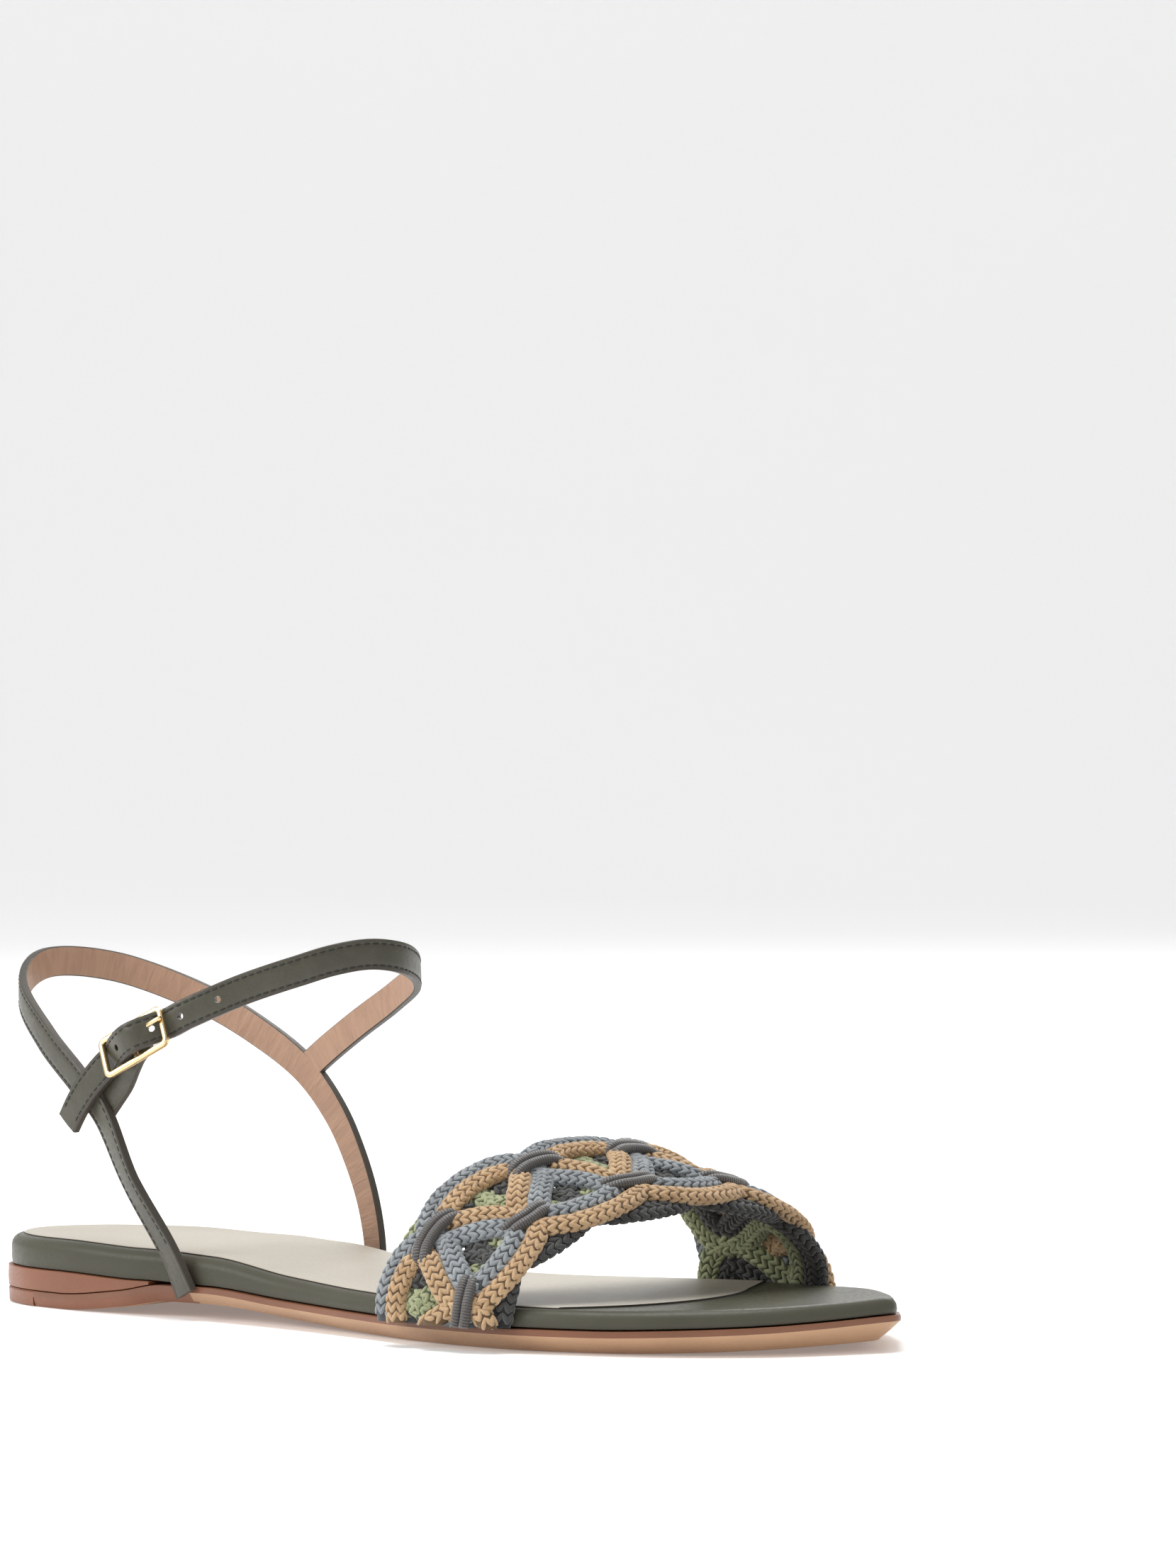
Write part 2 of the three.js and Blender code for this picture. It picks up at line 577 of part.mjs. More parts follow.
// The strap as one wall with its cords raised on it: a lower cord pair, an upper one half a repeat
// further on, and the satin pair that crosses over them near every bight.
function braidedVamp(sole) {
  const parts = [strapWall()];
  for (const [shift, top] of [[0, LOWER_TOP], [0.5, UPPER_TOP]]) {
    const path = pairPath(shift, top);
    for (let half = -3; half < 2 * BRAID_REPEATS + 2; half += 1) {
      const middle = path(half / 2).u;
      if (middle > -REPEAT * BIGHT_REACH && middle < VAMP_LENGTH + REPEAT * BIGHT_REACH) {
        const reach = 0.25 + BIGHT_OVERLAP;
        parts.push(cordPair(path, half / 2 - reach, half / 2 + reach, BIGHT_STEPS, CORD_WIDTH));
      }
    }
  }
  parts.push(cordPair(satinPath, -SATIN_OVERRUN, BRAID_REPEATS + SATIN_OVERRUN, SATIN_STEPS, SATIN_CORD));
  const joined = strapSlots().reduce((left, slot) => left.subtract(slot), wasm.Manifold.union(parts));
  const seatLevel = seat(HEEL_END + SOLE_LENGTH * VAMP_TABLE[0].x) + SEAM_GAP;
  return filled(joined.subtract(below(seatLevel)).subtract(sole));
}

// A point of the ankle that the straps lie on, with its outward direction.
function ankle(turn, height, swell) {
  const angle = THREE.MathUtils.degToRad(turn);
  const deep = Math.cos(angle) > 0 ? ANKLE_BACK : ANKLE_FRONT;
  const half = ANKLE_HALF + swell;
  const point = new THREE.Vector3(
    ANKLE_X - deep * Math.cos(angle), -half * Math.sin(angle), height);
  const out = new THREE.Vector3(-Math.cos(angle) / deep, -Math.sin(angle) / half, 0).normalize();
  return { point, out };
}

// Frames along a strap: its table gives places round the ankle.
function strapFrames(table, spacing) {
  let turn = table[0].turn;
  const unwound = table.map((row) => {
    turn += THREE.MathUtils.euclideanModulo(row.turn - turn + 180, 360) - 180;
    return { swell: 0, lift: 0, twist: 0, ...row, turn };
  });
  const places = unwound.map((row) => {
    const { point, out } = ankle(row.turn, STRAP_RISE * row.height, SWELL * row.swell);
    return point.addScaledVector(out, row.lift * (STRAP_THICKNESS + SEAM_GAP));
  });
  const curve = new THREE.CatmullRomCurve3(places, false, 'centripetal');
  curve.arcLengthDivisions = CURVE_DIVISIONS;
  const count = Math.round(curve.getLength() / spacing);
  const frames = [];
  for (let i = 0; i <= count; i += 1) {
    const t = curve.getUtoTmapping(i / count);
    const k = Math.min(unwound.length - 2, Math.floor(t * (unwound.length - 1)));
    const w = t * (unwound.length - 1) - k;
    const at = THREE.MathUtils.lerp(unwound[k].turn, unwound[k + 1].turn, w);
    const { out } = ankle(at, 0, 0);
    const along = curve.getTangent(t).normalize();
    const side = new THREE.Vector3().crossVectors(along, out).normalize();
    const up = new THREE.Vector3().crossVectors(side, along).normalize();
    const twist = THREE.MathUtils.degToRad(THREE.MathUtils.lerp(unwound[k].twist, unwound[k + 1].twist, w));
    side.applyAxisAngle(along, -twist);
    up.applyAxisAngle(along, -twist);
    frames.push({ point: curve.getPoint(t), side, out: up, turn: at });
  }
  return frames;
}

function strapSection(margin) {
  const w = STRAP_WIDTH / 2 + margin;
  const t = STRAP_THICKNESS + margin;
  const c = STRAP_CORNER;
  return [[-w, -margin], [w, -margin], [w, t - c], [w - c, t], [c - w, t], [-w, t - c]];
}

// The sling with the stalks, the ankle strap and the short buckle strap, joined where they branch.
// The buckle's clearance is taken out of them.
function ankleStraps(ground) {
  const section = strapSection(0);
  const sling = bar(strapFrames(SLING_TABLE, STRAP_STEP), section);
  const frames = strapFrames(ANKLE_STRAP_TABLE, FINE_STEP);
  let strap = bar(frames, section);
  for (const turn of HOLE_TURNS) strap = strap.subtract(strapHole(frames, turn));
  const buckleStrap = bar(strapFrames(BUCKLE_STRAP_TABLE, FINE_STEP), section);
  return wasm.Manifold.union([sling, strap, buckleStrap])
    .subtract(ground).subtract(buckleFrame(SEAM_GAP)).subtract(buckleProng(SEAM_GAP));
}

function strapHole(frames, turn) {
  const nearest = frames.reduce((best, frame) => (
    Math.abs(frame.turn - turn) < Math.abs(best.turn - turn) ? frame : best));
  const { point, side, out } = nearest;
  const geometry = new THREE.CylinderGeometry(HOLE_RADIUS, HOLE_RADIUS, 4 * STRAP_THICKNESS, HOLE_SIDES);
  geometry.applyMatrix4(new THREE.Matrix4().makeBasis(
    side, out, new THREE.Vector3().crossVectors(side, out)).setPosition(point));
  return solid(geometry);
}

// The buckle's own frame: s along the strap, w across it, n outwards.
function buckleMatrix() {
  const { point, out } = ankle(BUCKLE_TURN, BUCKLE_Z, 0);
  const level = new THREE.Vector3(-out.y, out.x, 0);
  const pitch = THREE.MathUtils.degToRad(BUCKLE_PITCH);
  const s = level.clone().multiplyScalar(Math.cos(pitch)).add(new THREE.Vector3(0, 0, Math.sin(pitch)));
  const w = new THREE.Vector3().crossVectors(out, s);
  const roll = THREE.MathUtils.degToRad(BUCKLE_ROLL);
  return new THREE.Matrix4().makeBasis(s, w, out).setPosition(point)
    .multiply(new THREE.Matrix4().makeTranslation(0, 0, BUCKLE_LIFT))
    .multiply(new THREE.Matrix4().makeRotationX(-roll))
    .multiply(new THREE.Matrix4().makeTranslation(0, 0, -BUCKLE_LIFT));
}

function roundedRectangle(halfLength, halfHeight, radius, target) {
  target.moveTo(-halfLength + radius, -halfHeight);
  target.lineTo(halfLength - radius, -halfHeight);
  target.quadraticCurveTo(halfLength, -halfHeight, halfLength, -halfHeight + radius);
  target.lineTo(halfLength, halfHeight - radius);
  target.quadraticCurveTo(halfLength, halfHeight, halfLength - radius, halfHeight);
  target.lineTo(-halfLength + radius, halfHeight);
  target.quadraticCurveTo(-halfLength, halfHeight, -halfLength, halfHeight - radius);
  target.lineTo(-halfLength, -halfHeight + radius);
  target.quadraticCurveTo(-halfLength, -halfHeight, -halfLength + radius, -halfHeight);
  return target;
}

// The frame with its middle bar, grown by a margin.
function buckleFrame(margin) {
  const half = BUCKLE_LENGTH / 2 + margin;
  const opening = BUCKLE_HEIGHT / 2 - BUCKLE_BAR - margin;
  const barHalf = BUCKLE_BAR / 2 + margin;
  const shape = roundedRectangle(half, BUCKLE_HEIGHT / 2 + margin, BUCKLE_CORNER, new THREE.Shape());
  const depth = BUCKLE_DEPTH + 2 * margin;
  const plate = new THREE.ExtrudeGeometry(shape, { depth, bevelEnabled: false, curveSegments: 3 });
  plate.translate(0, 0, BUCKLE_LIFT - margin);
  const window = (from, to) => box(
    new THREE.Vector3(from, -opening, 0), new THREE.Vector3(to, opening, 2 * (BUCKLE_LIFT + BUCKLE_DEPTH)));
  const inner = BUCKLE_LENGTH / 2 - BUCKLE_BAR - margin;
  return solid(plate).subtract(window(-inner, -barHalf)).subtract(window(barHalf, inner))
    .transform(buckleMatrix().elements);
}

function buckleProng(margin) {
  const top = BUCKLE_LIFT + BUCKLE_DEPTH;
  const rest = top + SEAM_GAP + PRONG_RADIUS;
  const points = [
    [BUCKLE_BAR / 2 + SEAM_GAP + PRONG_RADIUS / 2 - margin, BUCKLE_LIFT + PRONG_RADIUS],
    [PRONG_HOLE * PRONG_DIP, BUCKLE_LIFT + PRONG_RADIUS * PRONG_DIP_LIFT],
    [PRONG_HOLE, top],
    [PRONG_HOLE + HOLE_RADIUS * PRONG_LAND, rest],
    [BUCKLE_LENGTH / 2, rest],
  ].map(([s, n]) => new THREE.Vector3(s, PRONG_SIDE, n).applyMatrix4(buckleMatrix()));
  const curve = new THREE.CatmullRomCurve3(points, false, 'centripetal');
  const round = new THREE.Shape();
  round.absarc(0, 0, PRONG_RADIUS + margin, 0, 2 * Math.PI, false);
  return solid(new THREE.ExtrudeGeometry(round, {
    steps: PRONG_STEPS, curveSegments: 6, extrudePath: curve, bevelEnabled: false }));
}

function mesh(name, body, colour, roughness, metalness) {
  const { vertProperties, triVerts, numProp } = body.getMesh();
  const geometry = new THREE.BufferGeometry();
  const positions = new Float32Array((vertProperties.length / numProp) * 3);
  for (let i = 0; i < positions.length / 3; i += 1) {
    for (let k = 0; k < 3; k += 1) positions[3 * i + k] = vertProperties[numProp * i + k];
  }
  geometry.setAttribute('position', new THREE.BufferAttribute(positions, 3));
  geometry.setIndex(Array.from(triVerts));
  geometry.computeVertexNormals();
  const finish = new THREE.MeshStandardMaterial({ color: colour, roughness, metalness });
  const made = new THREE.Mesh(geometry, finish);
  made.name = name;
  return made;
}

const { outsole, topPiece } = outsoleAndTopPiece();
const ground = stack([
  ring(() => -2 * STRAP_THICKNESS, () => -REACH / 4),
  ring(() => -2 * STRAP_THICKNESS, (x) => seat(x) + SEAM_GAP),
]);
const slingMargin = bar(strapFrames(SLING_TABLE, STRAP_STEP), strapSection(SEAM_GAP));
const footbedSolid = footbed(0).subtract(insoleRecess()).subtract(slingMargin);

const sandal = new THREE.Group();
sandal.name = 'sandal';
sandal.add(mesh('outsole', outsole, COLOURS.outsole, 0.6, 0));
sandal.add(mesh('heel_top_piece', topPiece, COLOURS.heel_top_piece, 0.55, 0));
sandal.add(mesh('heel_lift', heelLift(), COLOURS.heel_lift, 0.5, 0));
sandal.add(mesh('midsole', footbedSolid, COLOURS.midsole, 0.55, 0));
sandal.add(mesh('insole', insole(), COLOURS.insole, 0.7, 0));
sandal.add(mesh('braided_vamp', braidedVamp(footbed(SEAM_GAP)), COLOURS.braided_vamp, 0.85, 0));
sandal.add(mesh('ankle_straps', ankleStraps(ground), COLOURS.ankle_straps, 0.55, 0));
sandal.add(mesh('buckle_frame', buckleFrame(0), COLOURS.buckle, 0.3, 1));
sandal.add(mesh('buckle_prong', buckleProng(0), COLOURS.buckle, 0.3, 1));

export default sandal;
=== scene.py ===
# %% [markdown]
# # A flat sandal with a braided strap
# The sandal is a stack of leather layers, a strap of knitted cords over the toes and narrow leather
# straps round the ankle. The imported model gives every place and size. This script dresses it.

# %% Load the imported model
import math

import bpy
import numpy as np
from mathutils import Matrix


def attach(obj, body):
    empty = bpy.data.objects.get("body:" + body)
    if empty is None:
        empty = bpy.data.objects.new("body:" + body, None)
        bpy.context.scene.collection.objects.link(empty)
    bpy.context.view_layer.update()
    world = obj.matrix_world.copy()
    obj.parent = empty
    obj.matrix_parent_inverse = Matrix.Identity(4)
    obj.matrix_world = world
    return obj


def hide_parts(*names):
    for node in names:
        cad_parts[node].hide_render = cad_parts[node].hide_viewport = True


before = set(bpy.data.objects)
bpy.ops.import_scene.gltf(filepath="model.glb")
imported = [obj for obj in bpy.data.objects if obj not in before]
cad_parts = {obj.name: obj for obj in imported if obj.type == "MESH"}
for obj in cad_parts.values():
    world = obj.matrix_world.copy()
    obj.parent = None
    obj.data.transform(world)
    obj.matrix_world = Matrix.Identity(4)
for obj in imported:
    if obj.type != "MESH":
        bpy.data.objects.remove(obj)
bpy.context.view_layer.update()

MM = 0.001
print("nodes:", sorted(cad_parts))

# %% [markdown]
# ## The camera
# A long lens from the front outer quarter, just above the height of the straps. Its place and turn
# were found by laying the sole's outline and the straps over the photograph. The camera comes first,
# so that every later piece can be judged through it.

# %% Camera
from mathutils import Matrix, Vector

CAMERA_PLACE = Vector((1135.907, -1222.672, 152.189)) * MM
CAMERA_RIGHT = Vector((0.774510, 0.632535, -0.005743))
CAMERA_UP = Vector((-0.009974, 0.021289, 0.999724))
CAMERA_FORWARD = Vector((-0.632483, 0.774239, -0.022798))
FOCAL_LENGTH = 172.26           # on a sensor 36 mm high

camera_data = bpy.data.cameras.new("camera")
camera = bpy.data.objects.new("camera", camera_data)
bpy.context.scene.collection.objects.link(camera)
turn = Matrix((CAMERA_RIGHT, CAMERA_UP, -CAMERA_FORWARD)).transposed().to_4x4()
camera.matrix_world = Matrix.Translation(CAMERA_PLACE) @ turn
camera_data.lens = FOCAL_LENGTH
camera_data.clip_start = 0.05
bpy.context.scene.camera = camera
print("camera distance:", round(CAMERA_PLACE.length, 3), "m")

# %% [markdown]
# ## Curves and tables
# The sandal is described by a few short tables: the sole's width and heights along its length, the
# line of the braided strap, and the places of the ankle straps. Each column is read through a smooth
# curve that never overshoots its rows.

# %% Reading a table's column
SOLE_LENGTH = 237
BALL_WIDTH = 84
HEEL_END = -25


def column(at, values):
    at, values = np.asarray(at, float), np.asarray(values, float)
    slope = np.diff(values) / np.diff(at)
    tangent = np.zeros(len(at))
    tangent[0], tangent[-1] = slope[0], slope[-1]
    for i in range(1, len(at) - 1):
        if slope[i - 1] * slope[i] > 0:
            tangent[i] = 2 * slope[i - 1] * slope[i] / (slope[i - 1] + slope[i])

    def read(x):
        x = np.clip(np.asarray(x, float), at[0], at[-1])
        i = np.clip(np.searchsorted(at, x) - 1, 0, len(at) - 2)
        h = at[i + 1] - at[i]
        t = (x - at[i]) / h
        ends = values[i] * (1 + 2 * t) * (1 - t) ** 2 + values[i + 1] * t * t * (3 - 2 * t)
        return ends + tangent[i] * h * t * (1 - t) ** 2 + tangent[i + 1] * h * t * t * (t - 1)

    return read


def smooth_curve(points, closed=False, samples=60):
    """A centripetal curve through points, as a fine polyline and the place of each sample among them."""
    points = np.asarray(points, float)
    n = len(points)
    spans = n if closed else n - 1
    line, places = [], []
    for i in range(spans):
        if closed:
            p = [points[(i + k) % n] for k in (-1, 0, 1, 2)]
        else:
            p = [points[i - 1] if i > 0 else 2 * points[0] - points[1], points[i], points[i + 1],
                 points[i + 2] if i + 2 < n else 2 * points[-1] - points[-2]]
        d = [max(np.linalg.norm(p[k + 1] - p[k]) ** 0.5, 1e-4) for k in range(3)]
        a = ((p[1] - p[0]) / d[0] - (p[2] - p[0]) / (d[0] + d[1]) + (p[2] - p[1]) / d[1]) * d[1]
        b = ((p[2] - p[1]) / d[1] - (p[3] - p[1]) / (d[1] + d[2]) + (p[3] - p[2]) / d[2]) * d[1]
        t = np.linspace(0, 1, samples, endpoint=False)[:, None]
        line.append(p[1] + a * t + (-3 * p[1] + 3 * p[2] - 2 * a - b) * t ** 2
                    + (2 * p[1] - 2 * p[2] + a + b) * t ** 3)
        places.append(i + t[:, 0])
    if not closed:
        line.append(points[-1:])
        places.append([n - 1.0])
    return np.concatenate(line), np.concatenate(places)


def lengths(line):
    return np.concatenate([[0], np.cumsum(np.linalg.norm(np.diff(line, axis=0), axis=1))])


def unit(vectors):
    return vectors / np.linalg.norm(vectors, axis=-1, keepdims=True)


# %% [markdown]
# ## From a grid to a piece
# Most pieces here are long: a strap, a cord or a sole is one section carried along a line. A grid is
# added with as many cells as the piece needs, its points are moved to the sections, and its seam is
# merged. The grid brings a UV map along, so a pattern can follow the piece. Clean quads like these
# shade better than a surface cut out of a block.

# %% Grid helper
def deselect():
    for o in bpy.context.selected_objects:
        o.select_set(False)


def select_only(piece):
    deselect()
    piece.select_set(True)
    bpy.context.view_layer.objects.active = piece


def grid_piece(name, rows, close_section=True, close_line=False, caps=True, smooth=True):
    """A piece from rows of points in mm. Each row is a section, and the sections follow a line."""
    rows = np.asarray(rows, float)
    if close_section:
        rows = np.concatenate([rows, rows[:, :1]], axis=1)
    if close_line:
        rows = np.concatenate([rows, rows[:1]], axis=0)
    along, across = rows.shape[:2]
    deselect()
    bpy.ops.mesh.primitive_grid_add(x_subdivisions=along - 1, y_subdivisions=across - 1, size=2)
    piece = bpy.context.active_object
    piece.name = piece.data.name = name
    flat = np.zeros(len(piece.data.vertices) * 3)
    piece.data.vertices.foreach_get("co", flat)
    flat = flat.reshape(-1, 3)
    i = np.rint((flat[:, 0] + 1) / 2 * (along - 1)).astype(int)
    j = np.rint((flat[:, 1] + 1) / 2 * (across - 1)).astype(int)
    piece.data.vertices.foreach_set("co", (rows[i, j] * MM).ravel())
    bpy.ops.object.mode_set(mode="EDIT")
    bpy.ops.mesh.select_all(action="SELECT")
    bpy.ops.mesh.remove_doubles(threshold=0.00001)
    if caps and not close_line:
        bpy.ops.mesh.select_all(action="DESELECT")
        bpy.ops.mesh.select_non_manifold(extend=False)
        bpy.ops.mesh.fill_holes(sides=0)
    bpy.ops.mesh.select_all(action="SELECT")
    bpy.ops.mesh.normals_make_consistent(inside=False)
    bpy.ops.object.mode_set(mode="OBJECT")
    if smooth:
        bpy.ops.object.shade_smooth_by_angle(angle=math.radians(40))
    return piece


def carve(piece, tool, operation):
    """Cut a piece with a tool, by difference or intersection, and throw the tool away."""
    select_only(piece)
    cut = piece.modifiers.new("carve", "BOOLEAN")
    cut.operation, cut.object, cut.solver = operation, tool, "EXACT"
    bpy.ops.object.modifier_apply(modifier=cut.name)
    bpy.data.objects.remove(tool)


def finish_piece(piece, slot, *nodes):
    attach(piece, "root")
    if nodes:
        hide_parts(*nodes)
    print(piece.name, len(piece.data.polygons), "faces")


# %% [markdown]
# ## Finishes shared by several materials
# Leather has pores and a faint cloudiness, and thin straps crease across where they bend. Both are
# shader groups, so that each leather can take them at its own strength. A group only puts out masks
# and normals, and the shader itself stays in the material, where the crease mask paints shade into
# the creases.

# %% Group helpers
def new_group(name, inputs, outputs):
    group = bpy.data.node_groups.new(name, "ShaderNodeTree")
    for socket, kind, value in inputs:
        made = group.interface.new_socket(socket, in_out="INPUT", socket_type=kind)
        if value is not None:
            made.default_value = value
    for socket, kind in outputs:
        group.interface.new_socket(socket, in_out="OUTPUT", socket_type=kind)
    start = group.nodes.new("NodeGroupInput")
    end = group.nodes.new("NodeGroupOutput")
    return group, start, end


def add(tree, kind, inputs=None, **settings):
    node = tree.nodes.new(kind)
    for key, value in settings.items():
        setattr(node, key, value)
    for key, value in (inputs or {}).items():
        if isinstance(value, bpy.types.NodeSocket):
            tree.links.new(value, node.inputs[key])
        else:
            node.inputs[key].default_value = value
    return node


def colour(r, g, b):
    """A colour as it is seen, 0 to 255, turned into the light it stands for."""
    seen = [v / 255 for v in (r, g, b)]
    return tuple(v / 12.92 if v <= 0.04045 else ((v + 0.055) / 1.055) ** 2.4 for v in seen) + (1.0,)


def blend(tree, factor, first, second):
    """A colour that goes from the first to the second with the factor."""
    node = add(tree, "ShaderNodeMix", {"Factor": factor}, data_type="RGBA")
    for slot, value in ((6, first), (7, second)):
        if isinstance(value, bpy.types.NodeSocket):
            tree.links.new(value, node.inputs[slot])
        else:
            node.inputs[slot].default_value = colour(*value)
    return node.outputs[2]


def new_material(name, **sockets):
    """A material, its node tree, its shader and the coordinates that its patterns read."""
    material = bpy.data.materials.new(name)
    material.use_nodes = True
    tree = material.node_tree
    shader = tree.nodes["Principled BSDF"]
    for key, value in sockets.items():
        shader.inputs[key.replace("_", " ").title().replace("Ior", "IOR")].default_value = value
    return material, tree, shader, add(tree, "ShaderNodeTexCoord")


def noise(tree, where, scale, detail=2.0):
    return add(tree, "ShaderNodeTexNoise", {"Vector": where, "Scale": scale, "Detail": detail})


# %% Leather grain
grain, start, end = new_group(
    "leather_grain",
    [("Vector", "NodeSocketVector", None), ("Pores per metre", "NodeSocketFloat", 900.0),
     ("Depth", "NodeSocketFloat", 0.1), ("Cloud", "NodeSocketFloat", 0.2)],
    [("Normal", "NodeSocketVector"), ("Tone", "NodeSocketFloat"), ("Wear", "NodeSocketFloat")])
pores = add(grain, "ShaderNodeTexVoronoi", {"Vector": start.outputs["Vector"],
            "Scale": start.outputs["Pores per metre"]}, feature="DISTANCE_TO_EDGE")
fine = add(grain, "ShaderNodeTexNoise", {"Vector": start.outputs["Vector"],
           "Scale": start.outputs["Pores per metre"], "Detail": 4.0})
cloud = noise(grain, start.outputs["Vector"], 38.0, 3.0)
height = add(grain, "ShaderNodeMath", {0: pores.outputs["Distance"], 1: fine.outputs["Fac"]},
             operation="ADD")
bump = add(grain, "ShaderNodeBump", {"Strength": start.outputs["Depth"], "Distance": 0.0003,
           "Height": height.outputs[0]})
tone = add(grain, "ShaderNodeMapRange", {"Value": cloud.outputs["Fac"], "From Min": 0.3, "From Max": 0.7,
           "To Min": 0.0, "To Max": start.outputs["Cloud"]})
wear = add(grain, "ShaderNodeMapRange", {"Value": fine.outputs["Fac"], "From Min": 0.35, "From Max": 0.7})
grain.links.new(bump.outputs["Normal"], end.inputs["Normal"])
grain.links.new(tone.outputs["Result"], end.inputs["Tone"])
grain.links.new(wear.outputs["Result"], end.inputs["Wear"])

# %% Cross creases
# Fine wrinkles that run across a strap, read from its own UV map, where U follows its length. The mask
# marks the creases, where the material paints shade into the leather's colour.
creases, start, end = new_group(
    "cross_creases",
    [("UV", "NodeSocketVector", None), ("Length", "NodeSocketFloat", 0.2),
     ("Spacing", "NodeSocketFloat", 0.0012), ("Normal", "NodeSocketVector", None),
     ("Depth", "NodeSocketFloat", 0.4)],
    [("Normal", "NodeSocketVector"), ("Mask", "NodeSocketFloat")])
parts = add(creases, "ShaderNodeSeparateXYZ", {0: start.outputs["UV"]})
ratio = add(creases, "ShaderNodeMath", {0: start.outputs["Length"], 1: start.outputs["Spacing"]},
            operation="DIVIDE")
runs = add(creases, "ShaderNodeMath", {0: parts.outputs["X"], 1: ratio.outputs[0]}, operation="MULTIPLY")
lift = add(creases, "ShaderNodeMath", {0: parts.outputs["Y"], 1: 3.0}, operation="MULTIPLY")
place = add(creases, "ShaderNodeCombineXYZ", {"X": runs.outputs[0], "Y": lift.outputs[0]})
folds = add(creases, "ShaderNodeTexNoise", {"Vector": place.outputs[0], "Scale": 1.0, "Detail": 3.0,
            "Roughness": 0.6, "Distortion": 0.6})
mask = add(creases, "ShaderNodeMapRange", {"Value": folds.outputs["Fac"],
           "From Min": 0.38, "From Max": 0.62})
bump = add(creases, "ShaderNodeBump", {"Strength": start.outputs["Depth"], "Distance": 0.0006,
           "Height": folds.outputs["Fac"], "Normal": start.outputs["Normal"]})
creases.links.new(bump.outputs["Normal"], end.inputs["Normal"])
creases.links.new(mask.outputs["Result"], end.inputs["Mask"])


# %% Leather material
# Painted shade in the creases: the bottom of each crease is painted darker, as a share of the leather's
# darker tone.
PAINTED_CREASE_SHADE = 0.45             # how dark the bottom of a crease is beside the leather's darker tone


def leather(name, light, dark, pores, depth, cloud, roughness,
            creased=None, crease_depth=0.4, spacing=0.0012, coat=0.1, specular=0.4):
    material, tree, shader, where = new_material(name, specular_ior_level=specular, coat_weight=coat,
                                                 coat_roughness=0.3)
    skin = add(tree, "ShaderNodeGroup", node_tree=grain)
    tree.links.new(where.outputs["Object"], skin.inputs["Vector"])
    for key, value in (("Pores per metre", pores), ("Depth", depth), ("Cloud", cloud)):
        skin.inputs[key].default_value = value
    shine = add(tree, "ShaderNodeMapRange", {"Value": skin.outputs["Wear"],
                "To Min": roughness - 0.06, "To Max": roughness + 0.08})
    normal, base = skin.outputs["Normal"], blend(tree, skin.outputs["Tone"], light, dark)
    if creased:
        lines = add(tree, "ShaderNodeGroup", node_tree=creases)
        tree.links.new(where.outputs["UV"], lines.inputs["UV"])
        tree.links.new(normal, lines.inputs["Normal"])
        for key, value in (("Length", creased), ("Depth", crease_depth), ("Spacing", spacing)):
            lines.inputs[key].default_value = value
        normal = lines.outputs["Normal"]
        # Painted shade: along the crease mask the colour goes towards a much darker tone, as if shade lay
        # in each crease.
        deep = blend(tree, 0.16, base, [v * PAINTED_CREASE_SHADE for v in dark])
        base = blend(tree, lines.outputs["Mask"], deep, base)
    tree.links.new(base, shader.inputs["Base Color"])
    tree.links.new(shine.outputs["Result"], shader.inputs["Roughness"])
    tree.links.new(normal, shader.inputs["Normal"])
    return material


green_wrap = leather("green_wrap_leather", (80, 79, 68), (66, 65, 55), 1100.0, 0.12, 0.45, 0.36,
                     coat=0.0, specular=0.16)
insole_skin = leather("insole_leather", (178, 171, 158), (164, 157, 144), 1300.0, 0.10, 0.5, 0.5)
band_skin = leather("edge_band_leather", (128, 84, 60), (100, 62, 44), 1500.0, 0.10, 0.6, 0.4)
bevel_skin = leather("bevel_leather", (184, 148, 116), (162, 124, 94), 1400.0, 0.08, 0.6, 0.45)
lift_skin = leather("heel_lift_leather", (134, 84, 58), (112, 68, 46), 1400.0, 0.10, 0.6, 0.4)
top_skin = leather("heel_top_leather", (134, 86, 60), (110, 68, 47), 1200.0, 0.12, 0.6, 0.45)
ground_skin = leather("sole_underside_leather", (190, 150, 118), (166, 126, 96), 700.0, 0.25, 0.7, 0.6)

# %% [markdown]
# ## The sole
# The sole's outline is one closed curve. Each layer is that outline moved inwards by a little, at a
# height that follows the arch and the toe spring. A section is taken from the outer side to the inner
# one at many places along the sole, and the sections make the layer.

# %% Outline and heights
SOLE_BOARD, ARCH_LIFT, TOE_SPRING = 5.1, 3.6, 2.9
WEDGE_HEIGHT, WEDGE_END, TOP_PIECE_END = 4.7, 34, -4
FOOTBED, SHOULDER, FOOTBED_INSET = 6.8, 2.4, 0.8
EDGE_BAND, BEVEL_INSET = 1.4, 6
INSOLE_INSET = 3.6
SEAM = 0.12                     # what stays open between two layers

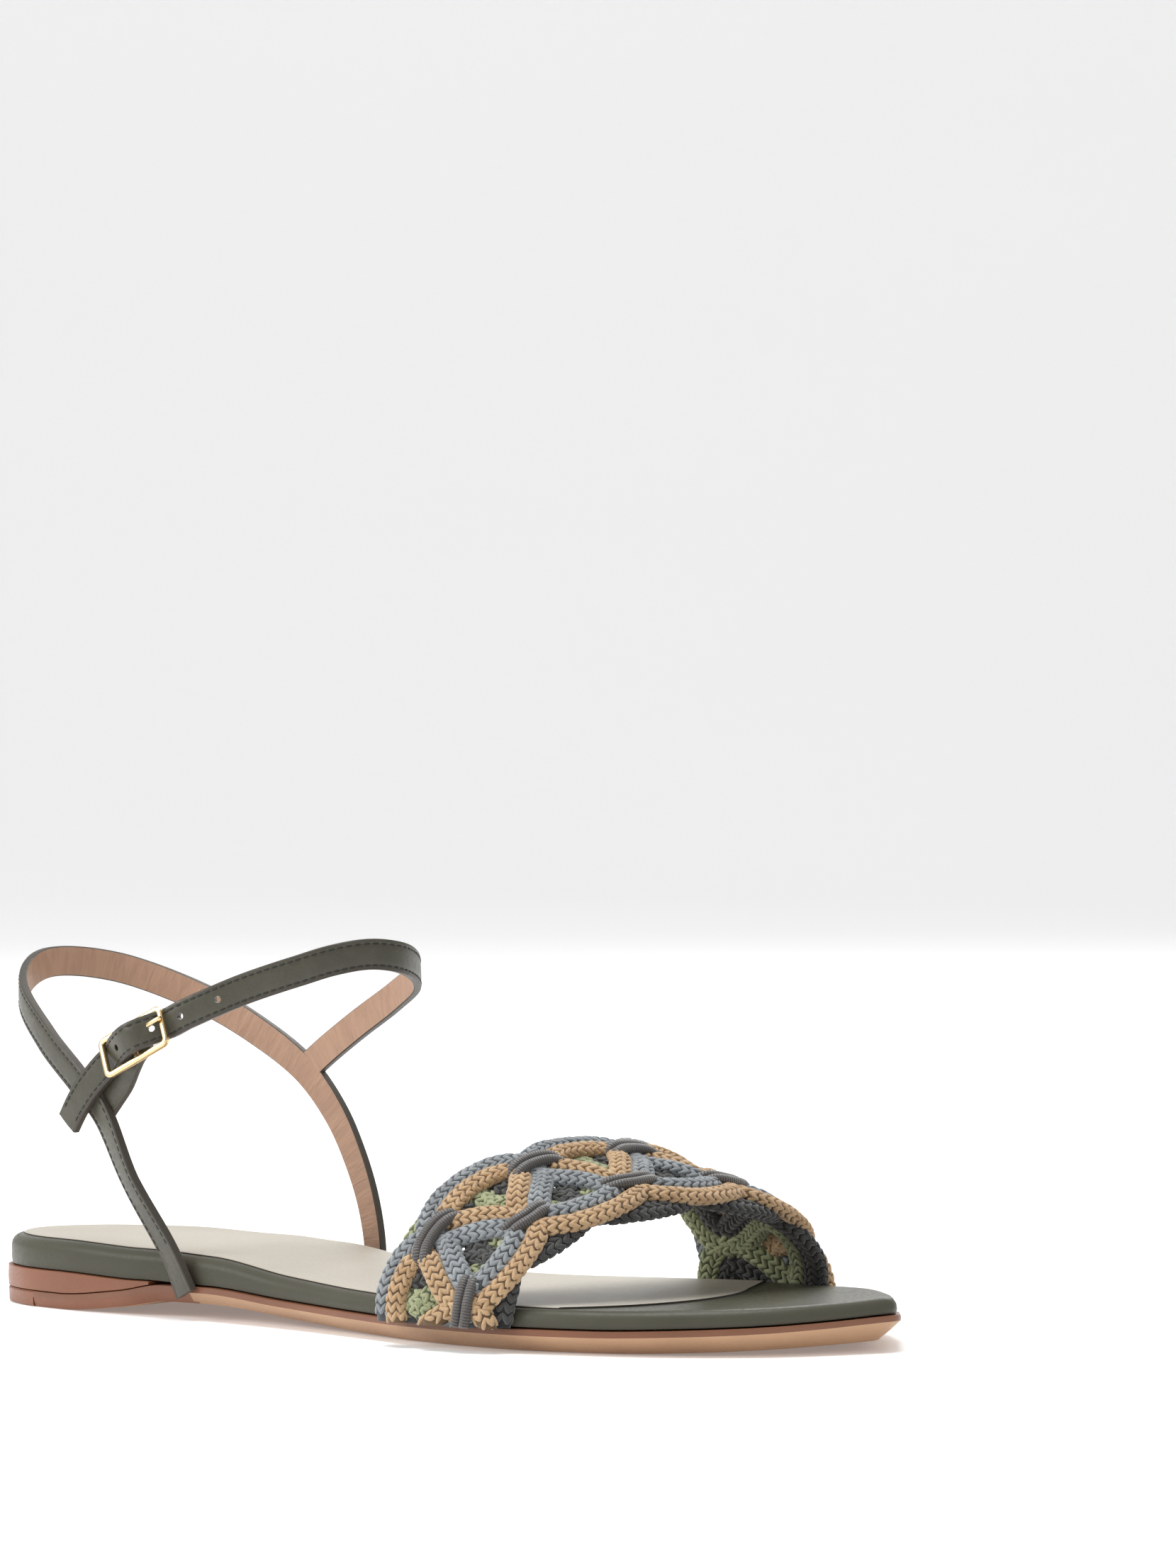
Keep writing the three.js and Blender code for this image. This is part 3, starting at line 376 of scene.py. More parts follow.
SOLE_COLUMNS = ("along", "outer", "inner", "arch", "spring", "board", "wedge", "footbed", "bevel")
SOLE_TABLE = np.array([
    (0, 0, 0, 0, 0, 0.69, 1, 0.97, 0.1), (0.021, 0.15, 0.14, 0, 0, 0.69, 1, 1, 0.1),
    (0.063, 0.235, 0.23, 0, 0, 0.69, 1, 1, 0.1), (0.127, 0.281, 0.286, 0, 0, 0.69, 1, 1, 0.12),
    (0.211, 0.301, 0.308, 0.45, 0, 0.72, 0.5, 0.99, 0.2),
    (0.264, 0.306, 0.304, 0.93, 0, 0.76, 0.08, 0.97, 0.4),
    (0.316, 0.313, 0.291, 0.92, 0, 0.8, 0, 0.92, 0.6), (0.422, 0.349, 0.278, 0.42, 0, 0.89, 0, 0.7, 0.9),
    (0.527, 0.412, 0.312, 0.08, 0, 0.98, 0, 0.61, 1), (0.591, 0.455, 0.36, 0, 0, 1, 0, 0.6, 1),
    (0.654, 0.483, 0.418, 0, 0, 1, 0, 0.6, 1), (0.728, 0.485, 0.481, 0, 0, 1, 0, 0.6, 1),
    (0.802, 0.434, 0.508, 0, 0, 1, 0, 0.6, 1), (0.873, 0.345, 0.474, 0, 0.15, 1, 0, 0.59, 1),
    (0.932, 0.214, 0.338, 0, 0.4, 0.98, 0, 0.57, 0.95), (0.97, 0.06, 0.2, 0, 0.68, 0.97, 0, 0.56, 0.85),
    (0.992, -0.06, 0.125, 0, 0.93, 0.96, 0, 0.57, 0.75), (1, -0.088, 0.088, 0, 1, 0.96, 0, 0.58, 0.7),
])


def sole_column(key):
    read = column(SOLE_TABLE[:, 0], SOLE_TABLE[:, SOLE_COLUMNS.index(key)])
    return lambda x: read((np.asarray(x) - HEEL_END) / SOLE_LENGTH)


arch, spring, board, wedge, bed, bevel = map(sole_column, SOLE_COLUMNS[3:])


def underside(x):
    return ARCH_LIFT * arch(x) + TOE_SPRING * spring(x)


def board_top(x):
    return underside(x) + SOLE_BOARD * board(x)


def seat(x):
    return board_top(x) + WEDGE_HEIGHT * wedge(x)


def bed_top(x):
    return seat(x) + FOOTBED * bed(x)


HALF_SAMPLES = 400
corners = np.concatenate([SOLE_TABLE[:, [0, 2]], (SOLE_TABLE[:, [0, 1]] * (1, -1))[::-1][:-1]])
corners = np.column_stack([HEEL_END + SOLE_LENGTH * corners[:, 0], BALL_WIDTH * corners[:, 1]])
loop = smooth_curve(corners, closed=True)[0]
loop = np.concatenate([loop, loop[:1]])
measure = lengths(loop)
evenly = np.linspace(0, measure[-1], 2 * HALF_SAMPLES + 1)
OUTLINE = np.column_stack([np.interp(evenly, measure, loop[:, k]) for k in (0, 1)])[:-1]
TOE_ROUNDING, TOE_REACH = 4, 0.9        # how far the tip is evened out, in samples, and what it gains
TOE_FROM, TOE_FULL = 185, 200           # the rounding comes in between these x
offsets = np.arange(-3 * TOE_ROUNDING, 3 * TOE_ROUNDING + 1)
weights = np.exp(-0.5 * (offsets / TOE_ROUNDING) ** 2)
even = sum(w * np.roll(OUTLINE, -int(k), axis=0) for k, w in zip(offsets, weights)) / weights.sum()
toe_share = np.clip((OUTLINE[:, :1] - TOE_FROM) / (TOE_FULL - TOE_FROM), 0, 1)
OUTLINE = OUTLINE + (even + (TOE_REACH, 0) - OUTLINE) * toe_share


def half_rings(inset, height, x_from, x_to, stations):
    """The outer and the inner half of a layer's edge, each with the same number of points."""
    ahead = np.roll(OUTLINE, -3, axis=0) - np.roll(OUTLINE, 3, axis=0)
    ahead = unit(ahead)
    move = inset(OUTLINE[:, 0])
    ring = np.column_stack([OUTLINE[:, 0] + ahead[:, 1] * move, OUTLINE[:, 1] - ahead[:, 0] * move])
    inner = ring[:HALF_SAMPLES + 1]
    outer = np.concatenate([ring[HALF_SAMPLES:], ring[:1]])[::-1]
    halves = []
    for half in (outer, inner):
        s = lengths(half)
        body = half[:, 0]
        low = np.interp(x_from, body, s) if x_from > body[0] else 0.0
        high = np.interp(x_to, body, s) if x_to < body[-1] else s[-1]
        at = np.linspace(low, high, stations)
        x, y = np.interp(at, s, half[:, 0]), np.interp(at, s, half[:, 1])
        halves.append(np.column_stack([x, y, height(x)]))
    return halves


def sole_layer(name, layers, x_from=-1000, x_to=1000, stations=150, lanes=9):
    """A layer of the sole from (inset, height) pairs, listed from its underside to its top."""
    rings = [half_rings(inset, height, x_from, x_to, stations) for inset, height in layers]
    sections = []
    for i in range(stations):
        side = [outer[i] for outer, _ in rings]
        other = [inner[i] for _, inner in rings]
        across = [side[-1] + (other[-1] - side[-1]) * k / lanes for k in range(1, lanes)]
        back = [other[0] + (side[0] - other[0]) * k / lanes for k in range(1, lanes)]
        sections.append(side + across + other[::-1] + back)
    return grid_piece(name, sections)


def flat(value):
    return lambda x: value + 0 * np.asarray(x, float)


# %% Outsole
# An upright band, then a bevel that runs in under the forepart. Two rings stand close together where
# the band meets the bevel, so that this line stays crisp.
def bevel_inset(x):
    return BEVEL_INSET * bevel(x)


BEVEL_START = 46                # behind this the outsole's side has the heel's colour

outsole = sole_layer("outsole_leather", [
    (lambda x: bevel_inset(x) + 1.2, underside),
    (lambda x: bevel_inset(x) + 0.1, lambda x: underside(x) + 0.12),
    (lambda x: bevel_inset(x) * 0.94, lambda x: underside(x) + 0.5),
    (lambda x: bevel_inset(x) * 0.5 + 0.05, lambda x: (underside(x) + board_top(x) - EDGE_BAND) * 0.5),
    (flat(0.22), lambda x: board_top(x) - EDGE_BAND - 0.1),
    (flat(0.02), lambda x: board_top(x) - EDGE_BAND + 0.08),
    (flat(0.0), lambda x: board_top(x) - EDGE_BAND * 0.5),
    (flat(0.06), lambda x: board_top(x) - 0.12),
    (flat(0.35), lambda x: board_top(x) - 0.01),
], x_from=TOP_PIECE_END + 0.1)
for skin in (band_skin, bevel_skin, lift_skin, ground_skin):
    outsole.data.materials.append(skin)
for face in outsole.data.polygons:
    middle = face.center / MM
    level = middle.z - float(underside(middle.x))
    rise = float(board_top(middle.x) - underside(middle.x))
    if face.normal.z < -0.97 and level < 0.3:
        face.material_index = 3
    elif level < rise - EDGE_BAND:
        face.material_index = 1 if middle.x > BEVEL_START else 2
finish_piece(outsole, "outsole", "outsole")

# %% Heel
# The wearing piece at the back and the wedge above the outsole are single layers with softened edges.
top_piece = sole_layer("heel_top_block", [
    (flat(1.0), flat(0.0)), (flat(0.45), flat(0.12)), (flat(0.2), flat(0.5)),
    (flat(0.12), lambda x: board_top(x) - 0.4), (flat(0.4), lambda x: board_top(x) - 0.05),
], x_to=TOP_PIECE_END - 0.05, stations=50)
top_piece.data.materials.append(top_skin)
finish_piece(top_piece, "heel_top_piece", "heel_top_piece")

heel_wedge = sole_layer("heel_wedge", [
    (flat(0.35), lambda x: board_top(x) + SEAM), (flat(0.08), lambda x: board_top(x) + SEAM + 0.1),
    (flat(0.0), lambda x: board_top(x) * 0.5 + seat(x) * 0.5), (flat(0.08), lambda x: seat(x) + 0.02),
    (flat(0.35), lambda x: seat(x) + 0.1),
], x_to=WEDGE_END, stations=80)
heel_wedge.data.materials.append(lift_skin)
finish_piece(heel_wedge, "heel_lift", "heel_lift")

# %% Footbed
# A board wrapped in soft leather. Its side bulges very slightly and its upper edge is a quarter round.
footbed_rings = [
    (flat(FOOTBED_INSET + 0.5), lambda x: seat(x) + SEAM + 0.12),
    (flat(FOOTBED_INSET + 0.12), lambda x: seat(x) + SEAM + 0.3),
    (flat(FOOTBED_INSET - 0.05), lambda x: seat(x) + (bed_top(x) - seat(x)) * 0.3),
    (flat(FOOTBED_INSET), lambda x: bed_top(x) - SHOULDER),
]
for angle in (20, 40, 58, 74, 90):
    a = math.radians(angle)
    footbed_rings.append((flat(FOOTBED_INSET + SHOULDER * (1 - math.cos(a))),
                          lambda x, a=a: bed_top(x) - SHOULDER * (1 - math.sin(a))))
footbed_rings.append((flat(INSOLE_INSET + 0.2), lambda x: bed_top(x) + 0.02))
footbed = sole_layer("footbed_wrap", footbed_rings, stations=190, lanes=11)
footbed.data.materials.append(green_wrap)
finish_piece(footbed, "midsole", "midsole")

# %% Insole
# A thin sock of beige leather. It follows the footbed with a margin and ends in a rounded tongue,
# which a solid of the tongue's shape cuts from the full layer.
INSOLE_TOP = 0.42               # it stands this far above the footbed
sock = sole_layer("insole_sock", [
    (flat(INSOLE_INSET), lambda x: bed_top(x) - 0.3),
    (flat(INSOLE_INSET), lambda x: bed_top(x) + INSOLE_TOP - 0.16),
    (flat(INSOLE_INSET + 0.14), lambda x: bed_top(x) + INSOLE_TOP - 0.03),
    (flat(INSOLE_INSET + 0.5), lambda x: bed_top(x) + INSOLE_TOP),
], x_to=188, stations=170, lanes=11)


def bezier(points, t):
    points = [np.asarray(p, float) for p in points]
    while len(points) > 1:
        points = [a + (b - a) * t[:, None] for a, b in zip(points, points[1:])]
    return points[0]


def tongue_x(along):
    return HEEL_END + SOLE_LENGTH * along


insole_edge = leather("insole_cut_edge", (58, 54, 46), (44, 41, 35), 900.0, 0.1, 0.3, 0.6)
TONGUE = [(tongue_x(along), BALL_WIDTH * across) for along, across in (
    (0.692, -0.56), (0.821, -0.42), (0.854, -0.02), (0.789, 0.262), (0.762, 0.423), (0.722, 0.6))]
steps = np.linspace(0, 1, 40)
front = bezier(TONGUE[:4], steps)
rest = bezier(TONGUE[3:], steps[1:])
edge = np.concatenate([front, rest])
sections = []
for z in (0.0, 40.0):
    wide = [(x, y, z) for x, y in edge]
    far = [(-60.0, y, z) for _, y in edge]
    sections.append(wide + far[::-1])
carve(sock, grid_piece("tongue_cutter", sections, smooth=False), "INTERSECT")
sock.data.materials.clear()
sock.data.materials.append(insole_skin)
sock.data.materials.append(insole_edge)
for face in sock.data.polygons:
    if abs(face.normal.z) < 0.6:
        face.material_index = 1
bpy.ops.object.shade_smooth_by_angle(angle=math.radians(40))
finish_piece(sock, "insole", "insole")

# %% [markdown]
# ## The leather straps
# Each strap is a flat ribbon: green leather outside, pinkish lining inside, painted cut edges, and a
# row of stitches along both sides. It follows the ankle, an oval that is longer in front than behind.
# The ribbon is one grid whose section is a flat bar with two shallow sewing grooves.

# %% Ankle and strap lines
STRAP_WIDTH, STRAP_THICKNESS = 6.7, 1.8
LAYER = STRAP_THICKNESS + 0.3
ANKLE_X, ANKLE_BACK, ANKLE_FRONT, ANKLE_HALF = 27.5, 45.8, 56, 28.6
STRAP_RISE, SWELL = 83, 2

# turn round the ankle in degrees, height as a share of STRAP_RISE, swell, lift in layers, twist
SLING_TABLE = [
    (109.4, 0.072, -0.8, 0, 26), (105, 0.181, -0.6, 0, 30), (95.5, 0.361, 0.1, 0, 30),
    (87, 0.536, 0.3, 0, 16), (76.5, 0.62, 0.2, 0, 5), (60, 0.718, 0, 0, 0), (30, 0.838, 0, 0, 0),
    (0, 0.9, 0, 0, 0), (-30, 0.884, 0, 0, 0), (-60, 0.797, 0, 0, 0), (-78, 0.713, 0, 0, 0),
    (-94, 0.614, 0, 0, 0), (-104, 0.5, 0, 0, 0), (-110.5, 0.392, 0, 0, 0), (-115.5, 0.283, 0, 0, 0),
    (-118.5, 0.169, 0, 0, 0), (-118.8, 0.072, 0, 0, 0)]
ANKLE_STRAP_TABLE = [
    (-95, 51.5, 0), (-101, 55.5, 0), (-112, 61.5, 0), (-130, 68.6, 0), (-150, 74, 0), (-180, 78.4, 0),
    (-195, 79.3, 0), (-208, 78.1, 0), (-218, 76.0, 0), (-225.5, 74.2, 0), (-234, 71.8, 0.1),
    (-242.7, 68.6, 0.6), (-249, 66, 0.95), (-252.2, 64.5, 1), (-256, 63, 2.1), (-260, 61.2, 2.9),
    (-264, 59, 2.1), (-267.8, 56.4, 1), (-271.5, 53.6, 1), (-275.9, 49.9, 1.2), (-280.1, 46, 1.2),
    (-284, 41.9, 1.1)]
ANKLE_STRAP_TABLE = [(t, h / STRAP_RISE, 0, lift, 0) for t, h, lift in ANKLE_STRAP_TABLE]
BUCKLE_STRAP_TABLE = [
    (86.4, 0.542, 0, 0, 0), (90, 0.582, 0, 0, 0), (93, 0.622, 0, 0.1, 0), (96, 0.67, 0, 0.6, 0),
    (98.6, 0.707, 0, 1, 0), (101.5, 0.735, 0, 1, 0)]


def ankle(turns, heights, swell):
    a = np.radians(turns)
    deep = np.where(np.cos(a) > 0, ANKLE_BACK, ANKLE_FRONT)
    half = ANKLE_HALF + swell
    point = np.column_stack([ANKLE_X - deep * np.cos(a), -half * np.sin(a), heights])
    out = unit(np.column_stack([-np.cos(a) / deep, -np.sin(a) / half, 0 * a]))
    return point, out


def strap_frames(table, spacing):
    """Points along a strap with its sideways and outward directions and the turn there."""
    table = np.array(table, float)
    point, out = ankle(table[:, 0], STRAP_RISE * table[:, 1], SWELL * table[:, 2])
    line, places = smooth_curve(point + out * (table[:, 3] * LAYER)[:, None])
    s = lengths(line)
    at = np.linspace(0, s[-1], int(round(s[-1] / spacing)) + 1)
    place = np.interp(at, s, places)
    centre = np.column_stack([np.interp(at, s, line[:, k]) for k in range(3)])
    rows = np.arange(len(table))
    turns, twist = np.interp(place, rows, table[:, 0]), np.interp(place, rows, table[:, 4])
    along = unit(np.gradient(centre, axis=0))
    _, out = ankle(turns, 0 * turns, 0)
    side = unit(np.cross(along, out))
    up = unit(np.cross(side, along))
    t = -np.radians(twist)[:, None]
    side, up = side * np.cos(t) - up * np.sin(t), up * np.cos(t) + side * np.sin(t)
    return {"centre": centre, "side": side, "up": up, "along": along, "turn": turns,
            "length": s[-1], "at": at}


# %% Strap piece
EDGE_PAINT = leather("strap_edge_paint", (66, 60, 52), (50, 46, 40), 900.0, 0.2, 0.3, 0.5)
STITCH_MARGIN = 1.0             # from the strap's edge to its row of stitches
# [sideways, outwards] round the ribbon: the lining first, then an edge, the outside and the other edge
LINING_POINTS, EDGE_POINTS = 7, 4


def strap_section(width, thickness, bottom):
    w, t, m = width / 2, thickness, STITCH_MARGIN
    lining = [(-w + 0.25, bottom), (-w * 0.6, bottom - 0.02), (-w * 0.3, bottom - 0.03), (0, bottom - 0.03),
              (w * 0.3, bottom - 0.03), (w * 0.6, bottom - 0.02), (w - 0.25, bottom)]
    rise = [(w - 0.04, bottom + 0.2), (w, t * 0.5), (w - 0.05, t - 0.25), (w - 0.25, t - 0.06)]
    outside = [(w - m + 0.3, t), (w - m + 0.05, t - 0.08), (w - m - 0.05, t - 0.08), (w - m - 0.35, t),
               (w * 0.35, t + 0.05), (0, t + 0.06), (-w * 0.35, t + 0.05), (-w + m + 0.35, t),
               (-w + m + 0.05, t - 0.08), (-w + m - 0.05, t - 0.08), (-w + m - 0.3, t)]
    fall = [(-w + 0.25, t - 0.06), (-w + 0.05, t - 0.25), (-w, t * 0.5), (-w + 0.04, bottom + 0.2)]
    return lining + rise + outside + fall


def strap_piece(name, frames, width=STRAP_WIDTH, thickness=STRAP_THICKNESS, bottom=0.0, taper=0):
    section = strap_section(width, thickness, bottom)
    rows = []
    count = len(frames["centre"])
    for i in range(count):
        c, s, u = frames["centre"][i], frames["side"][i], frames["up"][i]
        rows.append([c + s * a + u * b for a, b in section])
    piece = grid_piece(name, rows)
    length = frames["length"] * MM
    outside = leather(name + "_outside", (76, 74, 61), (58, 56, 46), 1000.0, 0.14, 0.6, 0.38,
                      creased=length, crease_depth=0.12, spacing=0.004)
    lining = leather(name + "_lining", (178, 142, 118), (158, 122, 98), 1200.0, 0.12, 0.5, 0.5,
                     creased=length, crease_depth=0.55, spacing=0.0016)
    for skin in (outside, lining, EDGE_PAINT):
        piece.data.materials.append(skin)
    n = len(section)
    uv = piece.data.uv_layers.active.data
    for face in piece.data.polygons:
        if face.loop_total > 4:
            face.material_index = 2
            continue
        v = sum(uv[k].uv.y for k in face.loop_indices) / face.loop_total * n
        if v < LINING_POINTS - 1:
            face.material_index = 1
        elif v < LINING_POINTS + EDGE_POINTS - 1 or v > n - EDGE_POINTS - 0.5:
            face.material_index = 2
    return piece


sling_frames = strap_frames(SLING_TABLE, 1.6)
ankle_frames = strap_frames(ANKLE_STRAP_TABLE, 1.3)
buckle_frames = strap_frames(BUCKLE_STRAP_TABLE, 1.0)
sling = strap_piece("heel_sling", sling_frames)
ankle_strap = strap_piece("ankle_strap", ankle_frames, thickness=STRAP_THICKNESS - 0.06, bottom=0.06)
buckle_strap = strap_piece("buckle_strap", buckle_frames, thickness=STRAP_THICKNESS - 0.08, bottom=0.05)
print("strap lengths in mm:", [round(f["length"]) for f in (sling_frames, ankle_frames, buckle_frames)])

# %% Holes in the ankle strap
HOLE_TURNS = (-263.7, -256.1, -249, -240.5)
HOLE_RADIUS = 0.75
for turn_at in HOLE_TURNS:
    i = int(np.argmin(abs(ankle_frames["turn"] - turn_at)))
    centre, side = ankle_frames["centre"][i], ankle_frames["side"][i]
    up, along = ankle_frames["up"][i], ankle_frames["along"][i]
    angles = np.linspace(0, 2 * math.pi, 20, endpoint=False)
    rows = [[centre + up * h + (side * math.cos(a) + along * math.sin(a)) * HOLE_RADIUS for a in angles]
            for h in (-4.0, 6.0)]
    carve(ankle_strap, grid_piece("hole_punch", rows, smooth=False), "DIFFERENCE")
select_only(ankle_strap)
bpy.ops.object.shade_smooth_by_angle(angle=math.radians(40))
finish_piece(sling, "ankle_straps", "ankle_straps")
finish_piece(ankle_strap, "ankle_straps")
finish_piece(buckle_strap, "ankle_straps")

# %% [markdown]
# ## Small things in rows
# Stitches and knitted loops repeat by the hundred. One is modelled from a sphere, stretched and
# thinned, and then each copy is written into one mesh at its place. A mesh of copies stays light,
# because one grain of it has only a few dozen faces.

# %% A grain and its copies
def grain_mesh(name, segments, rings, length, width, height, taper=0.0):
    """A rice-shaped grain along X, as points and faces."""
    deselect()
    bpy.ops.mesh.primitive_uv_sphere_add(segments=segments, ring_count=rings, radius=0.5)
    seed = bpy.context.active_object
    seed.name = name
    bpy.ops.object.mode_set(mode="EDIT")
    bpy.ops.mesh.select_all(action="SELECT")
    bpy.ops.transform.rotate(value=math.pi / 2, orient_axis="Y", center_override=(0, 0, 0))
    bpy.ops.transform.resize(value=(length, width, height), center_override=(0, 0, 0))
    bpy.ops.object.mode_set(mode="OBJECT")
    points = np.array([v.co for v in seed.data.vertices])
    points[:, 1] *= 1 - taper * points[:, 0] / length
    faces = [list(p.vertices) for p in seed.data.polygons]
    bpy.data.objects.remove(seed)
    return points, faces


def copies(name, seed, places, xs, ys, zs, scales=None):
    """One mesh holding a copy of the grain at each place, its axes along xs, ys and zs."""
    points, faces = seed
    places, xs, ys, zs = (np.asarray(a, float) for a in (places, xs, ys, zs))
    if scales is None:
        scales = np.ones((len(places), 3))
    local = points[None] * scales[:, None]
    world = (places[:, None] + local[..., :1] * xs[:, None] + local[..., 1:2] * ys[:, None]
             + local[..., 2:] * zs[:, None])
    n = len(points)
    all_faces = [[v + n * k for v in face] for k in range(len(places)) for face in faces]
    mesh = bpy.data.meshes.new(name)
    mesh.from_pydata((world.reshape(-1, 3) * MM).tolist(), [], all_faces)
    piece = bpy.data.objects.new(name, mesh)
    bpy.context.scene.collection.objects.link(piece)
    select_only(piece)
    bpy.ops.object.shade_smooth()
    return piece


# %% Stitches
# Thread a little darker than the leather, in the groove along each side of a strap.
STITCH_PITCH = 1.75
thread, tree, shader, where = new_material("strap_thread", roughness=0.75)
fuzz = noise(tree, where.outputs["Object"], 3000.0)
tree.links.new(blend(tree, fuzz.outputs["Fac"], (30, 29, 24), (48, 47, 39)), shader.inputs["Base Color"])
rough = add(tree, "ShaderNodeBump", {"Strength": 0.3, "Distance": 0.0001, "Height": fuzz.outputs["Fac"]})
tree.links.new(rough.outputs["Normal"], shader.inputs["Normal"])

stitch_seed = grain_mesh("stitch_seed", 6, 6, 1.4, 0.46, 0.34)


def stitch_rows(frames, thickness, start_at, stop_at):
    at = np.arange(start_at, frames["length"] - stop_at, STITCH_PITCH)
    pick = {k: np.column_stack([np.interp(at, frames["at"], frames[k][:, c]) for c in range(3)])
            for k in ("centre", "side", "up", "along")}
    found = []
    for sign in (-1, 1):
        place = (pick["centre"] + pick["side"] * sign * (STRAP_WIDTH / 2 - STITCH_MARGIN)
                 + pick["up"] * (thickness - 0.05))
        found.append((place, pick["along"], pick["side"], pick["up"]))
    return [np.concatenate([f[k] for f in found]) for k in range(4)]


rows = [stitch_rows(sling_frames, STRAP_THICKNESS, 12, 12),
        stitch_rows(ankle_frames, STRAP_THICKNESS - 0.06, 9, 2)]
rows = [np.concatenate([found[k] for found in rows]) for k in range(4)]
stitches = copies("strap_stitches", stitch_seed, *rows)
stitches.data.materials.append(thread)
finish_piece(stitches, "ankle_straps")

# %% [markdown]
# ## The buckle
# A rectangular frame of pale gold wire with a middle bar under the strap, and a prong that is bent
# round that bar, comes up through a hole and rests on the frame. All are bars carried along a line,
# with a softly rounded section.

# %% Buckle frame
BUCKLE_LENGTH, BUCKLE_HEIGHT, BUCKLE_BAR, BUCKLE_DEPTH = 19, 9.5, 1.3, 1.3
BUCKLE_TURN, BUCKLE_Z, BUCKLE_PITCH, BUCKLE_ROLL, BUCKLE_LIFT = 99.6, 60, 26.5, 14, 4.2
PRONG_HOLE, PRONG_SIDE, PRONG_RADIUS = 4.4, 1.2, 0.55

point, out = ankle(np.array([BUCKLE_TURN]), np.array([BUCKLE_Z]), 0)
out = Vector(out[0])
level = Vector((-out.y, out.x, 0))
pitch = math.radians(BUCKLE_PITCH)
s_axis = level * math.cos(pitch) + Vector((0, 0, math.sin(pitch)))
w_axis = out.cross(s_axis)
basis = Matrix((s_axis, w_axis, out)).transposed().to_4x4()
place = (Matrix.Translation(Vector(point[0])) @ basis @ Matrix.Translation((0, 0, BUCKLE_LIFT))
         @ Matrix.Rotation(-math.radians(BUCKLE_ROLL), 4, "X") @ Matrix.Translation((0, 0, -BUCKLE_LIFT)))


def on_buckle(points):
    return np.array([place @ Vector(p) for p in points])


def swept(name, centres, sides, ups, section, close_line=False, scales=None):
    rows = []
    for i, (c, s, u) in enumerate(zip(centres, sides, ups)):
        k = 1 if scales is None else scales[i]
        rows.append([c + s * a * k + u * b * k for a, b in section])
    return grid_piece(name, rows, close_line=close_line)


def round_section(width, height, corner, steps=4):
    found = []
    for quarter in range(4):
        cx = (width / 2 - corner) * (1 if quarter in (0, 3) else -1)
        cy = (height / 2 - corner) * (1 if quarter in (0, 1) else -1)
        for k in range(steps + 1):
            a = math.pi / 2 * (quarter + k / steps)
            found.append((cx + corner * math.cos(a), cy + corner * math.sin(a)))
    return found


gold, tree, shader, where = new_material("buckle_gold", metallic=1.0)
smear = noise(tree, where.outputs["Object"], 260.0, 4.0)
shine = add(tree, "ShaderNodeMapRange", {"Value": smear.outputs["Fac"], "To Min": 0.16, "To Max": 0.34})
tint = blend(tree, smear.outputs["Fac"], (238, 212, 166), (224, 194, 146))
tree.links.new(tint, shader.inputs["Base Color"])
tree.links.new(shine.outputs["Result"], shader.inputs["Roughness"])
scratch = add(tree, "ShaderNodeBump", {"Strength": 0.08, "Distance": 0.0002,
              "Height": smear.outputs["Fac"]})
tree.links.new(scratch.outputs["Normal"], shader.inputs["Normal"])

CORNER = 1.1
half_l, half_h = (BUCKLE_LENGTH - BUCKLE_BAR) / 2, (BUCKLE_HEIGHT - BUCKLE_BAR) / 2
path, sides = [], []
middle = BUCKLE_LIFT + BUCKLE_DEPTH / 2
for quarter, (sx, sy) in enumerate(((1, 1), (-1, 1), (-1, -1), (1, -1))):
    for k in range(7):
        a = math.pi / 2 * (quarter + k / 6)
        path.append((sx * (half_l - CORNER) + CORNER * math.cos(a),
                     sy * (half_h - CORNER) + CORNER * math.sin(a), middle))
        sides.append((math.cos(a), math.sin(a), 0))
turned = np.array(place.to_3x3())
wire = round_section(BUCKLE_BAR, BUCKLE_DEPTH, 0.36)
buckle = swept("buckle_wire", on_buckle(path), np.array(sides) @ turned.T,
               np.tile(turned[:, 2], (len(path), 1)), wire, close_line=True)
buckle.data.materials.append(gold)
finish_piece(buckle, "buckle", "buckle_frame")

BAR_STEPS = 12
bar_line = on_buckle([(0, w, middle) for w in np.linspace(-half_h, half_h, BAR_STEPS)])
bar_side, bar_up = (np.tile(turned[:, k], (BAR_STEPS, 1)) for k in (0, 2))
middle_bar = swept("buckle_middle_bar", bar_line, bar_side, bar_up,
                   round_section(BUCKLE_BAR, BUCKLE_DEPTH * 0.9, 0.45))
middle_bar.data.materials.append(gold)
finish_piece(middle_bar, "buckle")

# %% Prong
top = BUCKLE_LIFT + BUCKLE_DEPTH
rest = top + 0.12 + PRONG_RADIUS
prong_points = []
for k in range(6):                                   # the loop round the middle bar
    a = math.radians(200 + 30 * k)
    prong_points.append((-1.15 * math.cos(a) * 0.95, PRONG_SIDE, middle + 1.25 * math.sin(a) * -0.9))
tip = BUCKLE_LENGTH / 2
for ahead, up in ((PRONG_HOLE * 0.55, middle + 0.2), (PRONG_HOLE, top + 0.1), (PRONG_HOLE + 1.7, rest),
                  (tip - 0.4, rest), (tip + 0.25, rest - 0.12)):
    prong_points.append((ahead, PRONG_SIDE, up))
line = smooth_curve(prong_points, samples=5)[0]
along = unit(np.gradient(line, axis=0))
across = np.tile((0.0, 1.0, 0.0), (len(line), 1))
upward = unit(np.cross(along, across))
thin = np.interp(np.arange(len(line)), [0, len(line) - 8, len(line) - 1], [1.0, 1.0, 0.72])
prong = swept("buckle_tongue", on_buckle(line), across @ turned.T, upward @ turned.T,
              round_section(2 * PRONG_RADIUS, 1.7 * PRONG_RADIUS, 0.4, steps=3), scales=thin)
prong.data.materials.append(gold)
finish_piece(prong, "buckle", "buckle_prong")

